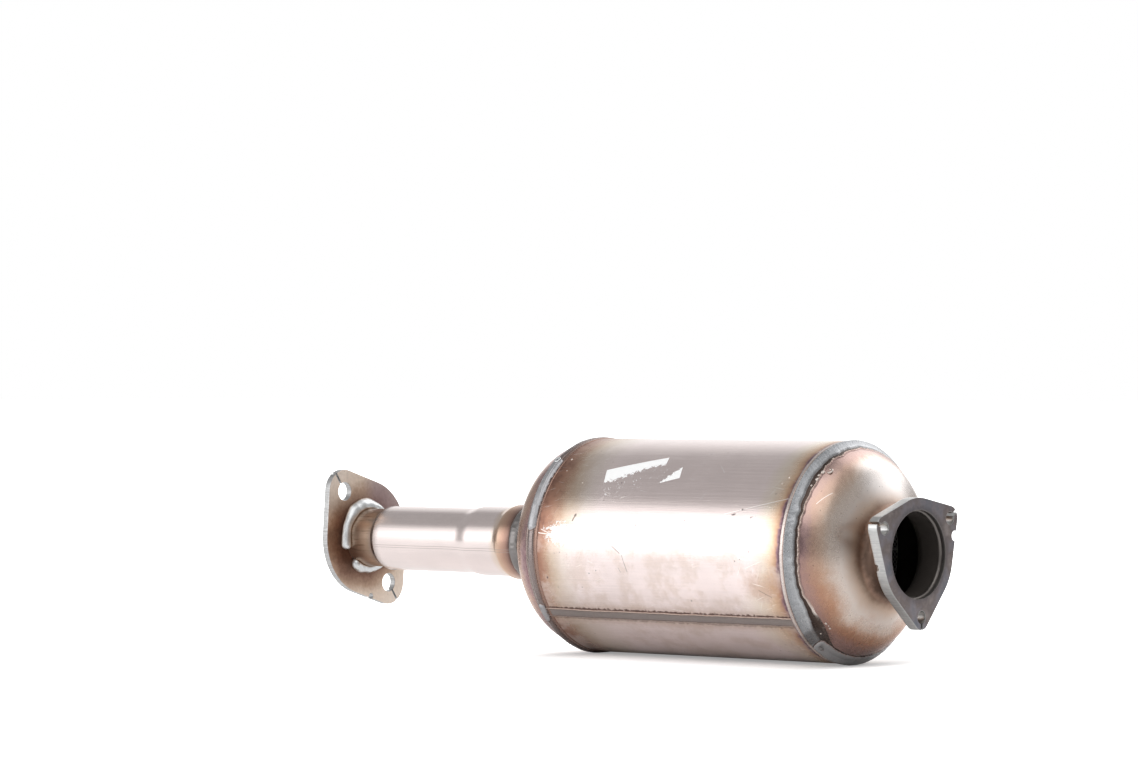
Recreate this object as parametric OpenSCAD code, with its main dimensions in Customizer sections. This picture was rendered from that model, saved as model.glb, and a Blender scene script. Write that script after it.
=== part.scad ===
// Diesel particulate filter: a welded stainless can with a segmented ceramic
// filter inside, a three-bolt inlet flange and a swaged outlet pipe.
// Millimetres. The origin is the centre of the inlet gasket face, +X points out
// of the inlet along the common axis, -Y is the front and +Z is up.

/* [Shell] */
// Outside diameter of the can
shell_d = 156; // [150:0.5:190]
// Sheet thickness of the can
shell_wall = 1.5; // [1:0.1:2.5]
// Length of the can from edge to edge
shell_len = 233.5; // [225:0.5:300]

/* [End domes] */
// Sheet thickness of the drawn domes
dome_wall = 1.5; // [1:0.1:2.5]
// Radius of the rounded shoulder, outside
shoulder_r = 34; // [28:0.5:38]
// Slope of the cone between shoulder and throat, from the axis
cone_angle = 65; // [58:1:72]
// Radius of the hollow curve that leads into the neck, outside
throat_r = 8; // [5:0.5:12]
// Straight rim that stands inside the can
rim_len = 14; // [10:0.5:16]
// How far the can reaches over the start of the inlet dome's shoulder
inlet_cover = 8.7; // [5:0.1:10]
// How far the can reaches over the start of the outlet dome's shoulder
outlet_cover = 1.5; // [0.5:0.1:4]
// Outside diameter of the inlet neck
inlet_neck_d = 61.4; // [56:0.1:66]
// Straight length of the inlet neck
inlet_neck_len = 12.3; // [9:0.1:30]
// Outside diameter of the outlet neck
outlet_neck_d = 52.6; // [46:0.1:58]
// Straight length of the outlet neck
outlet_neck_len = 28.2; // [22:0.1:60]

/* [Inlet flange] */
// Plate thickness
inlet_flange_t = 8; // [7:0.5:12]
// Diameter of the round part of the plate
inlet_flange_d = 79.2; // [76:0.2:84]
// Diameter of the bolt circle
inlet_pcd = 87.2; // [84:0.2:96]
// Corner radius round each bolt hole
inlet_lobe_r = 8.8; // [7.5:0.1:12]
// Bolt hole diameter
inlet_hole_d = 9; // [6:0.1:11]
// Width of the slit from a bolt hole to the edge
inlet_slit_w = 2.2; // [1:0.1:3]
// Angle of the first bolt hole, from the front upwards
inlet_turn = 26; // [0:1:60]
// Set-back of the neck's end behind the gasket face
neck_set_back = 5.5; // [4.5:0.1:6.5]
// Angle of the half-round locating notch in the edge
inlet_notch_angle = 164; // [155:1:175]
// Radius of the locating notch
inlet_notch_r = 3.6; // [2:0.1:5]
// Angle of the dimple in the back edge
dimple_angle = -12; // [-40:1:0]
// Radius of the dimple
dimple_r = 2.4; // [1:0.1:3]

/* [Outlet flange] */
// Plate thickness
outlet_flange_t = 5; // [4:0.5:10]
// Diameter of the round part of the plate
outlet_flange_d = 87.2; // [80:0.2:100]
// Diameter of the bolt circle
outlet_pcd = 86.2; // [80:0.2:100]
// Corner radius round each bolt hole
outlet_lobe_r = 16.6; // [12:0.1:20]
// Bolt hole diameter
outlet_hole_d = 14; // [9:0.1:15]
// Width of the slit from a bolt hole to the edge
outlet_slit_w = 1.6; // [1:0.1:3]
// Angle of the first bolt hole, from the front upwards
outlet_turn = 55.6; // [0:0.1:90]
// Angle of the notch in the edge
outlet_notch_angle = -96; // [-105:1:-85]
// Radius of the notch
outlet_notch_r = 2.2; // [1:0.1:3]
// Set-back of the pipe's end behind the gasket face
pipe_set_back = 1.5; // [0.5:0.1:2.5]

/* [Outlet pipe] */
// Wall thickness of the pipe
pipe_wall = 1.5; // [1:0.1:2]
// Straight length of the bell over the neck
bell_len = 12.3; // [8:0.1:16]
// Length of the slope from bell to collar
bell_taper = 6.3; // [4:0.1:12]
// Outside diameter of the collar
collar_d = 51.8; // [50.2:0.1:52.4]
// Length of the collar
collar_len = 30.4; // [10:0.1:60]
// Length of the slope from collar to run
collar_taper = 8.4; // [4:0.1:15]
// Outside diameter of the long run
run_d = 48.6; // [46:0.1:50]
// Length of the long run
run_len = 85.2; // [40:0.1:200]
// Length of the slope from run to spigot
spigot_taper = 5.1; // [3:0.1:12]
// Outside diameter of the spigot in the outlet flange
spigot_d = 44; // [40:0.1:45]
// Length of the spigot up to the flange
spigot_len = 24.1; // [12:0.1:60]

/* [Welds] */
// Length of a ring bead over the dome
ring_bead_w = 6.8; // [5:0.1:9]
// Crown of a ring bead
ring_bead_h = 2; // [1:0.1:2.5]
// Width of the flat lip of a ring bead on the can
ring_lip_w = 4.5; // [2:0.1:8]
// Height of that lip over the can
ring_lip_h = 0.5; // [0.2:0.1:1]
// Width of the seam bead
seam_w = 8; // [4:0.1:10]
// Crown of the seam bead
seam_h = 0.6; // [0.3:0.1:1.5]
// Width of the joint that the seam bead fills
seam_root = 1.2; // [0.5:0.1:2]
// Angle of the seam, from the front upwards
seam_angle = -37; // [-60:1:60]
// Length of the bead on the outlet neck
neck_bead_w = 7.6; // [5:0.1:10]
// Crown of the bead on the outlet neck
neck_bead_h = 0.9; // [0.3:0.1:1.5]
// Leg of the flange stitches along the spigot
stitch_leg = 4.5; // [3:0.1:7]
// Leg of the flange stitches across the flange
stitch_foot = 6; // [3:0.1:7]
// Crown of the flange stitches
stitch_h = 0.9; // [0.3:0.1:1.5]
// Leg of the bead inside the inlet flange
inlet_bead_leg = 2.4; // [1.5:0.1:3]
// Crown of the bead inside the inlet flange
inlet_bead_h = 0.4; // [0.2:0.1:0.6]

/* [Filter] */
// Space for the mat between the can and the filter
mat_t = 4.6; // [3:0.1:12]
// Length of the ceramic filter
brick_len = 203; // [150:0.5:210]
// Width that grinding the filter round takes off its bars across the middle
grind_w = 2.8; // [1:0.1:6]
// Thickness of a cement joint between bars
joint_w = 1; // [0.5:0.1:2]
// Thickness of the cement skin round the bars
skin_t = 0.8; // [0.5:0.1:2]
// Space from the inlet dome's rim to the mat, which lies in the middle of the can
mat_inset = 1; // [0.5:0.1:10]

/* [Fits] */
// Gap all round a piece that slides into another
seat_gap = 0.1; // [0.05:0.01:0.2]

/* [Hidden] */
$fn = 240;
// Overshoot of a cutting shape
over = 1;
// Height by which an arc stands over the lines it runs into, so that it crosses them
meet = 0.01;
blend_steps = 8;
inlet_bolts = 3;
outlet_bolts = 2;
segments_across = 4;
// Space between the neck's end and the slope of the bell
neck_margin = 0.6;
// Angles between which each stitch on the outlet flange runs
upper_stitch = [-22, 150];
lower_stitch = [-184, -48];

shell_r = shell_d / 2;
shell_ri = shell_r - shell_wall;
rim_r = shell_ri - seat_gap;
inlet_neck_r = inlet_neck_d / 2;
outlet_neck_r = outlet_neck_d / 2;
bell_r = outlet_neck_r + seat_gap + pipe_wall;
collar_r = collar_d / 2;
run_r = run_d / 2;
spigot_r = spigot_d / 2;
brick_r = shell_ri - mat_t;
core_r = brick_r - skin_t;
segment_pitch = (2 * core_r + grind_w + joint_w) / segments_across;
segment_w = segment_pitch - joint_w;

// The shoulder's arc is centred at this radius, where the rim ends
shoulder_c = rim_r - shoulder_r;
// Height of a dome from the end of its rim to the start of its neck, to a hundredth
function dome_h(neck_r) =
    let (
        bends = (shoulder_r + throat_r) * sin(cone_angle),
        cone_top = shoulder_c + shoulder_r * cos(cone_angle),
        cone_foot = neck_r + throat_r * (1 - cos(cone_angle)))
    round(100 * (bends + (cone_top - cone_foot) / tan(cone_angle))) / 100;
// Outside radius of a dome at a height on its shoulder
function shoulder_at(h) = shoulder_c + sqrt(shoulder_r * shoulder_r - h * h);

// Depths along the axis, measured from the inlet gasket face
inlet_shoulder_z = neck_set_back + inlet_neck_len + dome_h(inlet_neck_r);
shell_z0 = inlet_shoulder_z - inlet_cover;
shell_z1 = shell_z0 + shell_len;
outlet_shoulder_z = shell_z1 - outlet_cover;
outlet_neck_z = outlet_shoulder_z + dome_h(outlet_neck_r) + outlet_neck_len;
bell_z = outlet_neck_z - bell_len + neck_margin;
bell_end_z = bell_z + bell_len;
collar_z = bell_end_z + bell_taper;
collar_end_z = collar_z + collar_len;
run_z = collar_end_z + collar_taper;
run_end_z = run_z + run_len;
spigot_z = run_end_z + spigot_taper;
outlet_back_z = spigot_z + spigot_len;
outlet_face_z = outlet_back_z + outlet_flange_t;
pipe_end_z = outlet_face_z - pipe_set_back;
brick_z = (shell_z0 + shell_z1 - brick_len) / 2;
mat_z = inlet_shoulder_z + rim_len + mat_inset;
mat_end_z = shell_z0 + shell_z1 - mat_z;

function segment_name(row, col) = str("filter_segment_", row + 1, "_", col + 1);
places = [0 : segments_across - 1];

// Everything is drawn with z as depth from the inlet face, x to the front and y up
module placed(z = 0) {
    rotate([90, 0, -90])
        translate([0, 0, z])
            children();
}

// Circle through two points of a weld's surface, with the crown h on the right of p to q
module bead_round(p, q, h) {
    chord = norm(q - p);
    r = (chord * chord / 4 + h * h) / (2 * h);
    across = [q.y - p.y, p.x - q.x] / chord;
    translate((p + q) / 2 - across * (r - h))
        circle(r = r);
}

// Ring between two radii
module ring(r_out, r_in, h) {
    difference() {
        cylinder(r = r_out, h = h);
        translate([0, 0, -over])
            cylinder(r = r_in, h = h + 2 * over);
    }
}

// Half section of a dome from the axis out to its wall, with the rim's end at z = 0.
// The inset moves the whole outline inwards, with the arcs on the same centres.
module dome_half(neck_r, neck_len, inset, beyond) {
    rim = rim_r - inset;
    bend = shoulder_r - inset;
    throat = throat_r + inset;
    neck = neck_r - inset;
    throat_c = [neck_r + throat_r, dome_h(neck_r)];
    cone_start = [shoulder_c + bend * cos(cone_angle), bend * sin(cone_angle)];
    cone_end = throat_c - throat * [cos(cone_angle), sin(cone_angle)];
    difference() {
        union() {
            polygon([
                [0, -rim_len - beyond], [rim, -rim_len - beyond], [rim, 0],
                cone_start, cone_end, [neck, throat_c.y],
                [neck, throat_c.y + neck_len + beyond],
                [0, throat_c.y + neck_len + beyond]]);
            intersection() {
                translate([shoulder_c, 0])
                    circle(r = bend + meet);
                translate([shoulder_c, -2 * over])
                    square([bend + over, cone_start.y + 4 * over]);
            }
        }
        translate(throat_c)
            circle(r = throat + meet);
    }
}

// Drawn dome with rim and neck
module dome(neck_r, neck_len) {
    rotate_extrude()
        difference() {
            dome_half(neck_r, neck_len, 0, 0);
            dome_half(neck_r, neck_len, dome_wall, over);
        }
}

// Bead in the corner between the can's edge and a dome's shoulder, with a flat lip on the can,
// which covers the start of the shoulder
module ring_bead(neck_r, neck_len, cover) {
    edge = [shell_r + ring_lip_h, cover];
    on_dome = cover + ring_bead_w;
    rotate_extrude()
        difference() {
            union() {
                bead_round(edge, [shoulder_at(on_dome), on_dome], ring_bead_h);
                translate(edge - [ring_lip_h + over, ring_lip_w])
                    square([ring_lip_h + over, ring_lip_w + ring_lip_h]);
            }
            dome_half(neck_r, neck_len, 0, 0);
            translate([0, -rim_len])
                square([shell_r, rim_len + cover]);
        }
}

// Flat plate outline: a disc with round lobes on tangents to it
module lobed_plate(disc_r, lobe_r, reach, count, turn) {
    tangent = acos((disc_r - lobe_r) / reach);
    side = [cos(tangent), sin(tangent)];
    near = disc_r * side;
    far = [reach, 0] + lobe_r * side;
    circle(r = disc_r + meet);
    for (i = [0 : count - 1])
        rotate(turn + i * 360 / count) {
            translate([reach, 0])
                circle(r = lobe_r + meet);
            polygon([[near.x, -near.y], [far.x, -far.y], far, near]);
        }
}

// Bolt holes, each open to the edge through a slit
module slit_holes(hole_d, slit_w, lobe_r, reach, count, turn) {
    for (i = [0 : count - 1])
        rotate(turn + i * 360 / count)
            translate([reach, 0]) {
                circle(d = hole_d);
                translate([0, -slit_w / 2])
                    square([lobe_r + over, slit_w]);
            }
}

// Stretch of pipe wall that changes radius along a half wave
function blend(r_a, r_b, z_a, z_b) =
    [for (i = [0 : blend_steps])
        let (t = i / blend_steps)
        [r_a + (r_b - r_a) * (1 - cos(180 * t)) / 2, z_a + (z_b - z_a) * t]];

module shell() {
    color("#b9aea4")
        placed(shell_z0)
            difference() {
                ring(shell_r, shell_ri, shell_len);
                rotate(seam_angle)
                    translate([shell_ri - over, -seam_root / 2, -over])
                        cube([shell_wall + 2 * over, seam_root, shell_len + 2 * over]);
            }
}

// Section of the metal that fills the joint of the can
module seam_root_section() {
    intersection() {
        difference() {
            circle(r = shell_r);
            circle(r = shell_ri);
        }
        translate([shell_ri - over, -seam_root / 2])
            square([shell_wall + 2 * over, seam_root]);
    }
}

// Section of the bead that stands on the can, with its root
module seam_section() {
    edge_x = sqrt(shell_r * shell_r - seam_w * seam_w / 4);
    difference() {
        bead_round([edge_x, -seam_w / 2], [edge_x, seam_w / 2], shell_r + seam_h - edge_x);
        circle(r = shell_r);
    }
    seam_root_section();
}

module shell_seam_weld() {
    inset = ring_lip_w + seat_gap;
    color("#8f8a86")
        placed(shell_z0)
            rotate(seam_angle) {
                linear_extrude(shell_len)
                    seam_root_section();
                translate([0, 0, inset])
                    linear_extrude(shell_len - 2 * inset)
                        seam_section();
            }
}

module inlet_dome() {
    color("#a8947f")
        placed(inlet_shoulder_z)
            mirror([0, 0, 1])
                dome(inlet_neck_r, inlet_neck_len);
}

module inlet_ring_weld() {
    color("#8e9092")
        placed(inlet_shoulder_z)
            mirror([0, 0, 1])
                ring_bead(inlet_neck_r, inlet_neck_len, inlet_cover);
}

module inlet_flange() {
    edge_r = inlet_flange_d / 2;
    reach = inlet_pcd / 2;
    color("#7d7672")
        placed()
            difference() {
                linear_extrude(inlet_flange_t)
                    difference() {
                        lobed_plate(edge_r, inlet_lobe_r, reach, inlet_bolts, inlet_turn);
                        circle(r = inlet_neck_r + seat_gap);
                        slit_holes(inlet_hole_d, inlet_slit_w, inlet_lobe_r, reach,
                            inlet_bolts, inlet_turn);
                        rotate(inlet_notch_angle)
                            translate([reach, 0])
                                circle(r = inlet_notch_r);
                    }
                rotate(dimple_angle)
                    translate([edge_r - dimple_r / 2, 0, inlet_flange_t])
                        rotate([0, 90, 0])
                            cylinder(r = dimple_r, h = inlet_lobe_r);
            }
}

module inlet_flange_weld() {
    bore_r = inlet_neck_r + seat_gap;
    inner_r = inlet_neck_r - dome_wall;
    root_z = neck_set_back;
    color("#6f6c6a")
        placed()
            rotate_extrude()
                intersection() {
                    bead_round([inner_r, root_z], [bore_r, root_z - inlet_bead_leg], inlet_bead_h);
                    translate([inner_r, root_z - inlet_bead_leg])
                        square([bore_r - inner_r, inlet_bead_leg]);
                }
}

module outlet_dome() {
    color("#9c8672")
        placed(outlet_shoulder_z)
            dome(outlet_neck_r, outlet_neck_len);
}

module outlet_ring_weld() {
    color("#8e9092")
        placed(outlet_shoulder_z)
            ring_bead(outlet_neck_r, outlet_neck_len, outlet_cover);
}

module outlet_pipe() {
    outside = concat(
        [[bell_r, bell_z]],
        blend(bell_r, collar_r, bell_end_z, collar_z),
        blend(collar_r, run_r, collar_end_z, run_z),
        blend(run_r, spigot_r, run_end_z, spigot_z),
        [[spigot_r, pipe_end_z]]);
    last = len(outside) - 1;
    inside = [for (i = [0 : last]) outside[last - i] - [pipe_wall, 0]];
    color("#b7a89d")
        placed()
            rotate_extrude()
                polygon(concat(outside, inside));
}

module outlet_neck_weld() {
    color("#8f9193")
        placed()
            rotate_extrude()
                intersection() {
                    bead_round([outlet_neck_r, bell_z - neck_bead_w], [bell_r, bell_z], neck_bead_h);
                    translate([outlet_neck_r, bell_z - outlet_neck_len])
                        square([outlet_neck_r, outlet_neck_len]);
                }
}

module outlet_flange() {
    edge_r = outlet_flange_d / 2;
    reach = outlet_pcd / 2;
    color("#9a8470")
        placed(outlet_back_z)
            linear_extrude(outlet_flange_t)
                difference() {
                    lobed_plate(edge_r, outlet_lobe_r, reach, outlet_bolts, outlet_turn);
                    circle(r = spigot_r + seat_gap);
                    slit_holes(outlet_hole_d, outlet_slit_w, outlet_lobe_r, reach,
                        outlet_bolts, outlet_turn);
                    rotate(outlet_notch_angle)
                        translate([edge_r + outlet_notch_r, 0])
                            circle(r = outlet_notch_r);
                }
}

// Fillet stitch between spigot and flange over a range of angles
module flange_stitch(span) {
    color("#a3a6a8")
        placed()
            rotate(span[0])
                rotate_extrude(angle = span[1] - span[0])
                    intersection() {
                        bead_round([spigot_r, outlet_back_z - stitch_leg],
                            [spigot_r + stitch_foot, outlet_back_z], stitch_h);
                        translate([spigot_r, spigot_z])
                            square([spigot_r, spigot_len]);
                    }
}

module support_mat() {
    color("#e8e4dc")
        placed(mat_z)
            ring(shell_ri - seat_gap, brick_r + seat_gap, mat_end_z - mat_z);
}

// One ceramic bar, cut to the round outline where it reaches it
module segment_bar(row, col) {
    middle = (segments_across - 1) / 2;
    intersection() {
        translate([(col - middle) * segment_pitch, (middle - row) * segment_pitch, brick_len / 2])
            cube([segment_w, segment_w, brick_len], center = true);
        cylinder(r = core_r, h = brick_len);
    }
}

module filter_segment(row, col) {
    color("#5b5a58")
        placed(brick_z)
            segment_bar(row, col);
}

module filter_cement() {
    color("#8a8781")
        placed(brick_z)
            difference() {
                cylinder(r = brick_r, h = brick_len);
                for (row = places, col = places)
                    segment_bar(row, col);
            }
}

shell();
shell_seam_weld();
inlet_dome();
inlet_ring_weld();
inlet_flange();
inlet_flange_weld();
outlet_dome();
outlet_ring_weld();
outlet_pipe();
outlet_neck_weld();
outlet_flange();
flange_stitch(upper_stitch);  // outlet_flange_weld_upper
flange_stitch(lower_stitch);  // outlet_flange_weld_lower
support_mat();
filter_cement();
for (row = places, col = places)
    filter_segment(row, col);
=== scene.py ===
import bpy
import numpy as np
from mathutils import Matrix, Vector
from mathutils.geometry import tessellate_polygon


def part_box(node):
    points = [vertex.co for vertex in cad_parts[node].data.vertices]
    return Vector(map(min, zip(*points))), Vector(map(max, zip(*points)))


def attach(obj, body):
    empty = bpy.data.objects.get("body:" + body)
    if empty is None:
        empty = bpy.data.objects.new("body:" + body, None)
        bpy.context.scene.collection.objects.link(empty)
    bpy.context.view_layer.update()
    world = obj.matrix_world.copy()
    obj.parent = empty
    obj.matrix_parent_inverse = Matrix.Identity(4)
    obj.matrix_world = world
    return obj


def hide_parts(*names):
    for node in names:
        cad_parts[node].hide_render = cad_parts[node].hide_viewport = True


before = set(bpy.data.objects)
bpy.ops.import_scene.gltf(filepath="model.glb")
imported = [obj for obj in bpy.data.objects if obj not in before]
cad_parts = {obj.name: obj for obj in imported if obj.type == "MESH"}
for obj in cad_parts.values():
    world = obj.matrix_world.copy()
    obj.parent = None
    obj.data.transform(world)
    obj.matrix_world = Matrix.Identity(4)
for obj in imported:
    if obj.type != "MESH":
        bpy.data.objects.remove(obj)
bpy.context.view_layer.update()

# Lengths are in mm. x runs along the axis and is 0 at the inlet's gasket face, and angles
# go round the axis from the front upwards, as in the part's source.
MM = 0.001
TURN = 2 * np.pi


def span(node):
    """Lowest and highest x of a solid, and how far it reaches above the axis."""
    low, high = np.round(np.array(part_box(node)) / MM, 2)
    return low[0], high[0], high[2]


CAN_OUTLET, CAN_INLET, CAN_R = span("shell")
CAN_WALL = 1.5
SEAM_ANGLE = -37
OUTLET_FACE, OUTLET_BACK, _ = span("outlet_flange")
INLET_BACK, INLET_FACE, _ = span("inlet_flange")
PIPE_END, BELL_START, BELL_R = span("outlet_pipe")

# Clearance between a sleeve and what it sits in
SEAT_GAP = 0.1

# Domes
SHEET = 1.5
RIM_LEN = 14
RIM_R = CAN_R - CAN_WALL - SEAT_GAP
SHOULDER_R = 34
SHOULDER_C = RIM_R - SHOULDER_R
CONE = np.radians(65)
THROAT_R = 8
INLET_NECK_R = 30.7
OUTLET_NECK_R = 26.3
INLET_RIM, INLET_NECK_END, _ = span("inlet_dome")
OUTLET_NECK_END, OUTLET_RIM, _ = span("outlet_dome")
INLET_SHOULDER = INLET_RIM + RIM_LEN
OUTLET_SHOULDER = OUTLET_RIM - RIM_LEN
INLET_COVER = CAN_INLET - INLET_SHOULDER
OUTLET_COVER = OUTLET_SHOULDER - CAN_OUTLET

# Pipe radii
COLLAR_R = 25.9
RUN_R = 24.3
SPIGOT_R = 22
PIPE_WALL = 1.5


# Meshes

def grid_faces(rows, columns, wrap_rows, wrap_columns):
    """Quads between neighbours of a grid of points numbered row by row."""
    i = np.arange(rows if wrap_rows else rows - 1)[:, None]
    j = np.arange(columns if wrap_columns else columns - 1)[None, :]
    below = (i + 1) % rows
    beside = (j + 1) % columns
    corners = [i * columns + j, i * columns + beside, below * columns + beside, below * columns + j]
    return np.stack(corners, -1).reshape(-1, 4)


def piece(name, points, quads, triangles, look, nodes=(), marks=None, crease=32):
    """A mesh from whole arrays, with its faces outwards: they are turned over if the volume
    they enclose, the sum of a . (b x c) over all triangles, comes out negative."""
    triangles = np.asarray(triangles, int).reshape(-1, 3)
    halves = np.concatenate([quads[:, [0, 1, 2]], quads[:, [0, 2, 3]], triangles])
    a, b, c = points[halves].transpose(1, 0, 2)
    if np.einsum("ij,ij->", a, np.cross(b, c)) < 0:
        quads = quads[:, ::-1]
        triangles = triangles[:, ::-1]
    mesh = bpy.data.meshes.new(name)
    mesh.from_pydata((points * MM).tolist(), [], quads.tolist() + triangles.tolist())
    mesh.shade_smooth()
    mesh.set_sharp_from_angle(angle=np.radians(crease))
    for key, values in (marks or {}).items():
        mark = mesh.attributes.new(key, "FLOAT", "POINT")
        mark.data.foreach_set("value", values.ravel().astype(np.float32))
    mesh.materials.append(look)
    made = bpy.data.objects.new(name, mesh)
    bpy.context.scene.collection.objects.link(made)
    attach(made, "root")
    if nodes:
        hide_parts(*nodes)


def round_axis(x, r, phi):
    """Points at station x, radius r and angle phi: (x, -r cos phi, r sin phi)."""
    x, r, phi = np.broadcast_arrays(x, r, phi)
    return np.stack([x, -r * np.cos(phi), r * np.sin(phi)], -1)


def full_turn(steps):
    """Angles evenly spaced once round, the first not repeated."""
    return np.linspace(0, TURN, steps, endpoint=False)


def turned(name, profile, look, nodes, steps, bore):
    """A closed profile of (x, r) points carried once round the axis. The mark "inside" is 1 on
    the points from number bore on."""
    phi = full_turn(steps)[:, None]
    points = round_axis(profile[None, :, 0], profile[None, :, 1], phi)
    inside = np.broadcast_to(np.arange(len(profile)) >= bore, points.shape[:2])
    quads = grid_faces(steps, len(profile), True, True)
    piece(name, points.reshape(-1, 3), quads, [], look, nodes, {"inside": inside})


def swept(name, x, r, phi, look, nodes, across, closed):
    """A closed section that changes along an arc: x and r are grids of (along, round the
    section). An arc that doesn't close on itself gets a fan at each end, from the middle of
    its last section. The mark "across" says where a point lies across the bead."""
    points = round_axis(x, r, phi)
    rows, columns = points.shape[:2]
    flat = points.reshape(-1, 3)
    quads = grid_faces(rows, columns, closed, True)
    fans = []
    marks = across.ravel()
    if not closed:
        j = np.arange(columns)
        beside = (j + 1) % columns
        last = (rows - 1) * columns
        middle = np.full(columns, len(flat))
        first_fan = np.stack([j, middle, beside], -1)
        last_fan = np.stack([last + beside, middle + 1, last + j], -1)
        fans = np.concatenate([first_fan, last_fan])
        flat = np.concatenate([flat, points[[0, -1]].mean(1)])
        marks = np.concatenate([marks, across[[0, -1]].mean(1)])
    piece(name, flat, quads, fans, look, nodes, {"across": marks}, crease=60)


def waver(seed, angle, low, high, fall=1.0):
    """Seeded unevenness along an angle, within -1 and 1: a sum of cosines of low to high waves
    a turn, each with its own phase and weaker the finer it is."""
    rng = np.random.default_rng(seed)
    waves = np.arange(low, high + 1)
    size = rng.uniform(0.5, 1, waves.size) * waves ** -fall
    start = rng.uniform(0, TURN, waves.size)
    total = np.cos(angle[..., None] * waves + start) @ size
    return total / np.abs(total).max()


def ease(t):
    """Smooth step: 3 t^2 - 2 t^3 between 0 and 1."""
    t = np.clip(t, 0, 1)
    return t * t * (3 - 2 * t)


def swell(phi, middle, half):
    """A bell curve round an angle in degrees."""
    off = (phi - np.radians(middle) + np.pi) % TURN - np.pi
    return np.exp(-(off / np.radians(half)) ** 2)


# Shader expressions

class Wire:
    """One socket of a material. Arithmetic on it adds Math nodes."""

    def __init__(self, tree, socket):
        self.tree = tree
        self.socket = socket

    def add(self, kind, settings=None, sockets=None, out=0):
        """Any node: its settings first, then the values or links of its sockets. Gives one of
        its outputs."""
        made = self.tree.nodes.new("ShaderNode" + kind)
        for key, value in (settings or {}).items():
            if key == "stops":
                elements = made.color_ramp.elements
                while len(elements) < len(value):
                    elements.new(1.0)
                for element, (place, colour) in zip(elements, value):
                    element.position = place
                    element.color = (*colour, 1)
            else:
                setattr(made, key, value)
        for key, value in (sockets or {}).items():
            if isinstance(value, Wire):
                self.tree.links.new(value.socket, made.inputs[key])
            else:
                made.inputs[key].default_value = value
        return Wire(self.tree, made.outputs[out]) if made.outputs else None

    def math(self, operation, *others):
        return self.add("Math", {"operation": operation}, dict(enumerate((self, *others))))

    def __add__(self, other):
        return self.math("ADD", other)

    __radd__ = __add__

    def __sub__(self, other):
        return self.math("SUBTRACT", other)

    def __rsub__(self, other):
        return self.add("Math", {"operation": "SUBTRACT"}, {0: other, 1: self})

    def __mul__(self, other):
        return self.math("MULTIPLY", other)

    __rmul__ = __mul__

    def __truediv__(self, other):
        return self.math("DIVIDE", other)

    def __neg__(self):
        return self.math("MULTIPLY", -1.0)

    def __abs__(self):
        return self.math("ABSOLUTE")

    def least(self, other):
        return self.math("MINIMUM", other)

    def most(self, other):
        return self.math("MAXIMUM", other)

    def step(self, low, high):
        """0 to 1 in a smooth step while the value goes from low to high, which may be the lesser."""
        sockets = {"Value": self, "From Min": low, "From Max": high}
        return self.add("MapRange", {"interpolation_type": "SMOOTHSTEP"}, sockets)

    def ramp(self, *stops):
        """Colour by value, each stop as (value, colour)."""
        return self.add("ValToRGB", {"stops": stops}, {0: self})

    def parts(self):
        """The x, y and z of a vector."""
        return [self.add("SeparateXYZ", None, {0: self}, out=k) for k in range(3)]

    def stretched(self, x, y, z):
        """The vector with each axis multiplied."""
        return self.add("VectorMath", {"operation": "MULTIPLY"}, {0: self, 1: (x, y, z)})

    def noise(self, per_mm, detail=3.0, roughness=0.55):
        """Noise of about 0 to 1 with this many lumps a mm."""
        sockets = {"Vector": self, "Scale": per_mm, "Detail": detail, "Roughness": roughness}
        return self.add("TexNoise", None, sockets)

    def cells(self, per_mm):
        """Distance from the nearest of many scattered points, where 1 is the space between them."""
        return self.add("TexVoronoi", None, {"Vector": self, "Scale": per_mm})

    def mark(self, name):
        """A mark that the mesh carries."""
        return self.add("Attribute", {"attribute_name": name}, None, out="Fac")

    def mixed(self, first, second):
        """Colours mixed with this value as the share of the second."""
        return self.add("Mix", {"data_type": "RGBA"}, {0: self, 6: first, 7: second}, out=2)

    def times(self, colour):
        """A colour multiplied by this value."""
        settings = {"data_type": "RGBA", "blend_type": "MULTIPLY"}
        return self.add("Mix", settings, {0: 1.0, 6: colour, 7: self}, out=2)

    def bump(self, strength, height):
        return self.add("Bump", None, {"Height": self, "Strength": strength, "Distance": height * MM})


def rgb(r, g, b):
    return (r, g, b, 1)


def finish(name, paint, **fixed):
    """A material: paint gets the Object coordinates in mm and gives the sockets that change over
    the surface."""
    made = bpy.data.materials.new(name)
    made.use_nodes = True
    tree = made.node_tree
    tree.nodes.clear()
    place = Wire(tree, tree.nodes.new("ShaderNodeTexCoord").outputs["Object"])
    here = place.add("VectorMath", {"operation": "SCALE"}, {0: place, "Scale": 1 / MM})
    shader = here.add("BsdfPrincipled", None, {**fixed, **paint(here)})
    here.add("OutputMaterial", None, {"Surface": shader})
    return made


def coat(colour, rough, normal, **more):
    """The sockets that a paint gives."""
    return {"Base Color": colour, "Roughness": rough, "Normal": normal, **more}


def from_axis(y, z):
    """Distance from the axis."""
    return (y * y + z * z).math("SQRT")


def arc_round(radius, y, z):
    """Arc from the front line upwards, measured at a radius."""
    return radius * z.math("ARCTAN2", -y)


def pitted(here, per_mm, where):
    """Small round pits, scattered where a mask is."""
    return here.cells(per_mm).step(0.12, 0.06) * where


# Marks on the can's face, unrolled to x and the arc from the front line

def on_can(x, degrees):
    """A place on the can by its x and angle, as x and arc."""
    return x, CAN_R * np.radians(degrees)


def stroke(x, arc, start, end, width):
    """A thin mark between two points: 1 on the line, 0 beyond its width and its ends."""
    (x0, a0), (x1, a1) = start, end
    length = np.hypot(x1 - x0, a1 - a0)
    cos = (x1 - x0) / length
    sin = (a1 - a0) / length
    along = (x - x0) * cos + (arc - a0) * sin
    across = abs((arc - a0) * cos - (x - x0) * sin)
    beyond = (-along).most(along - length).most(0.0)
    return (across + beyond).step(width, 0.0)


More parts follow.
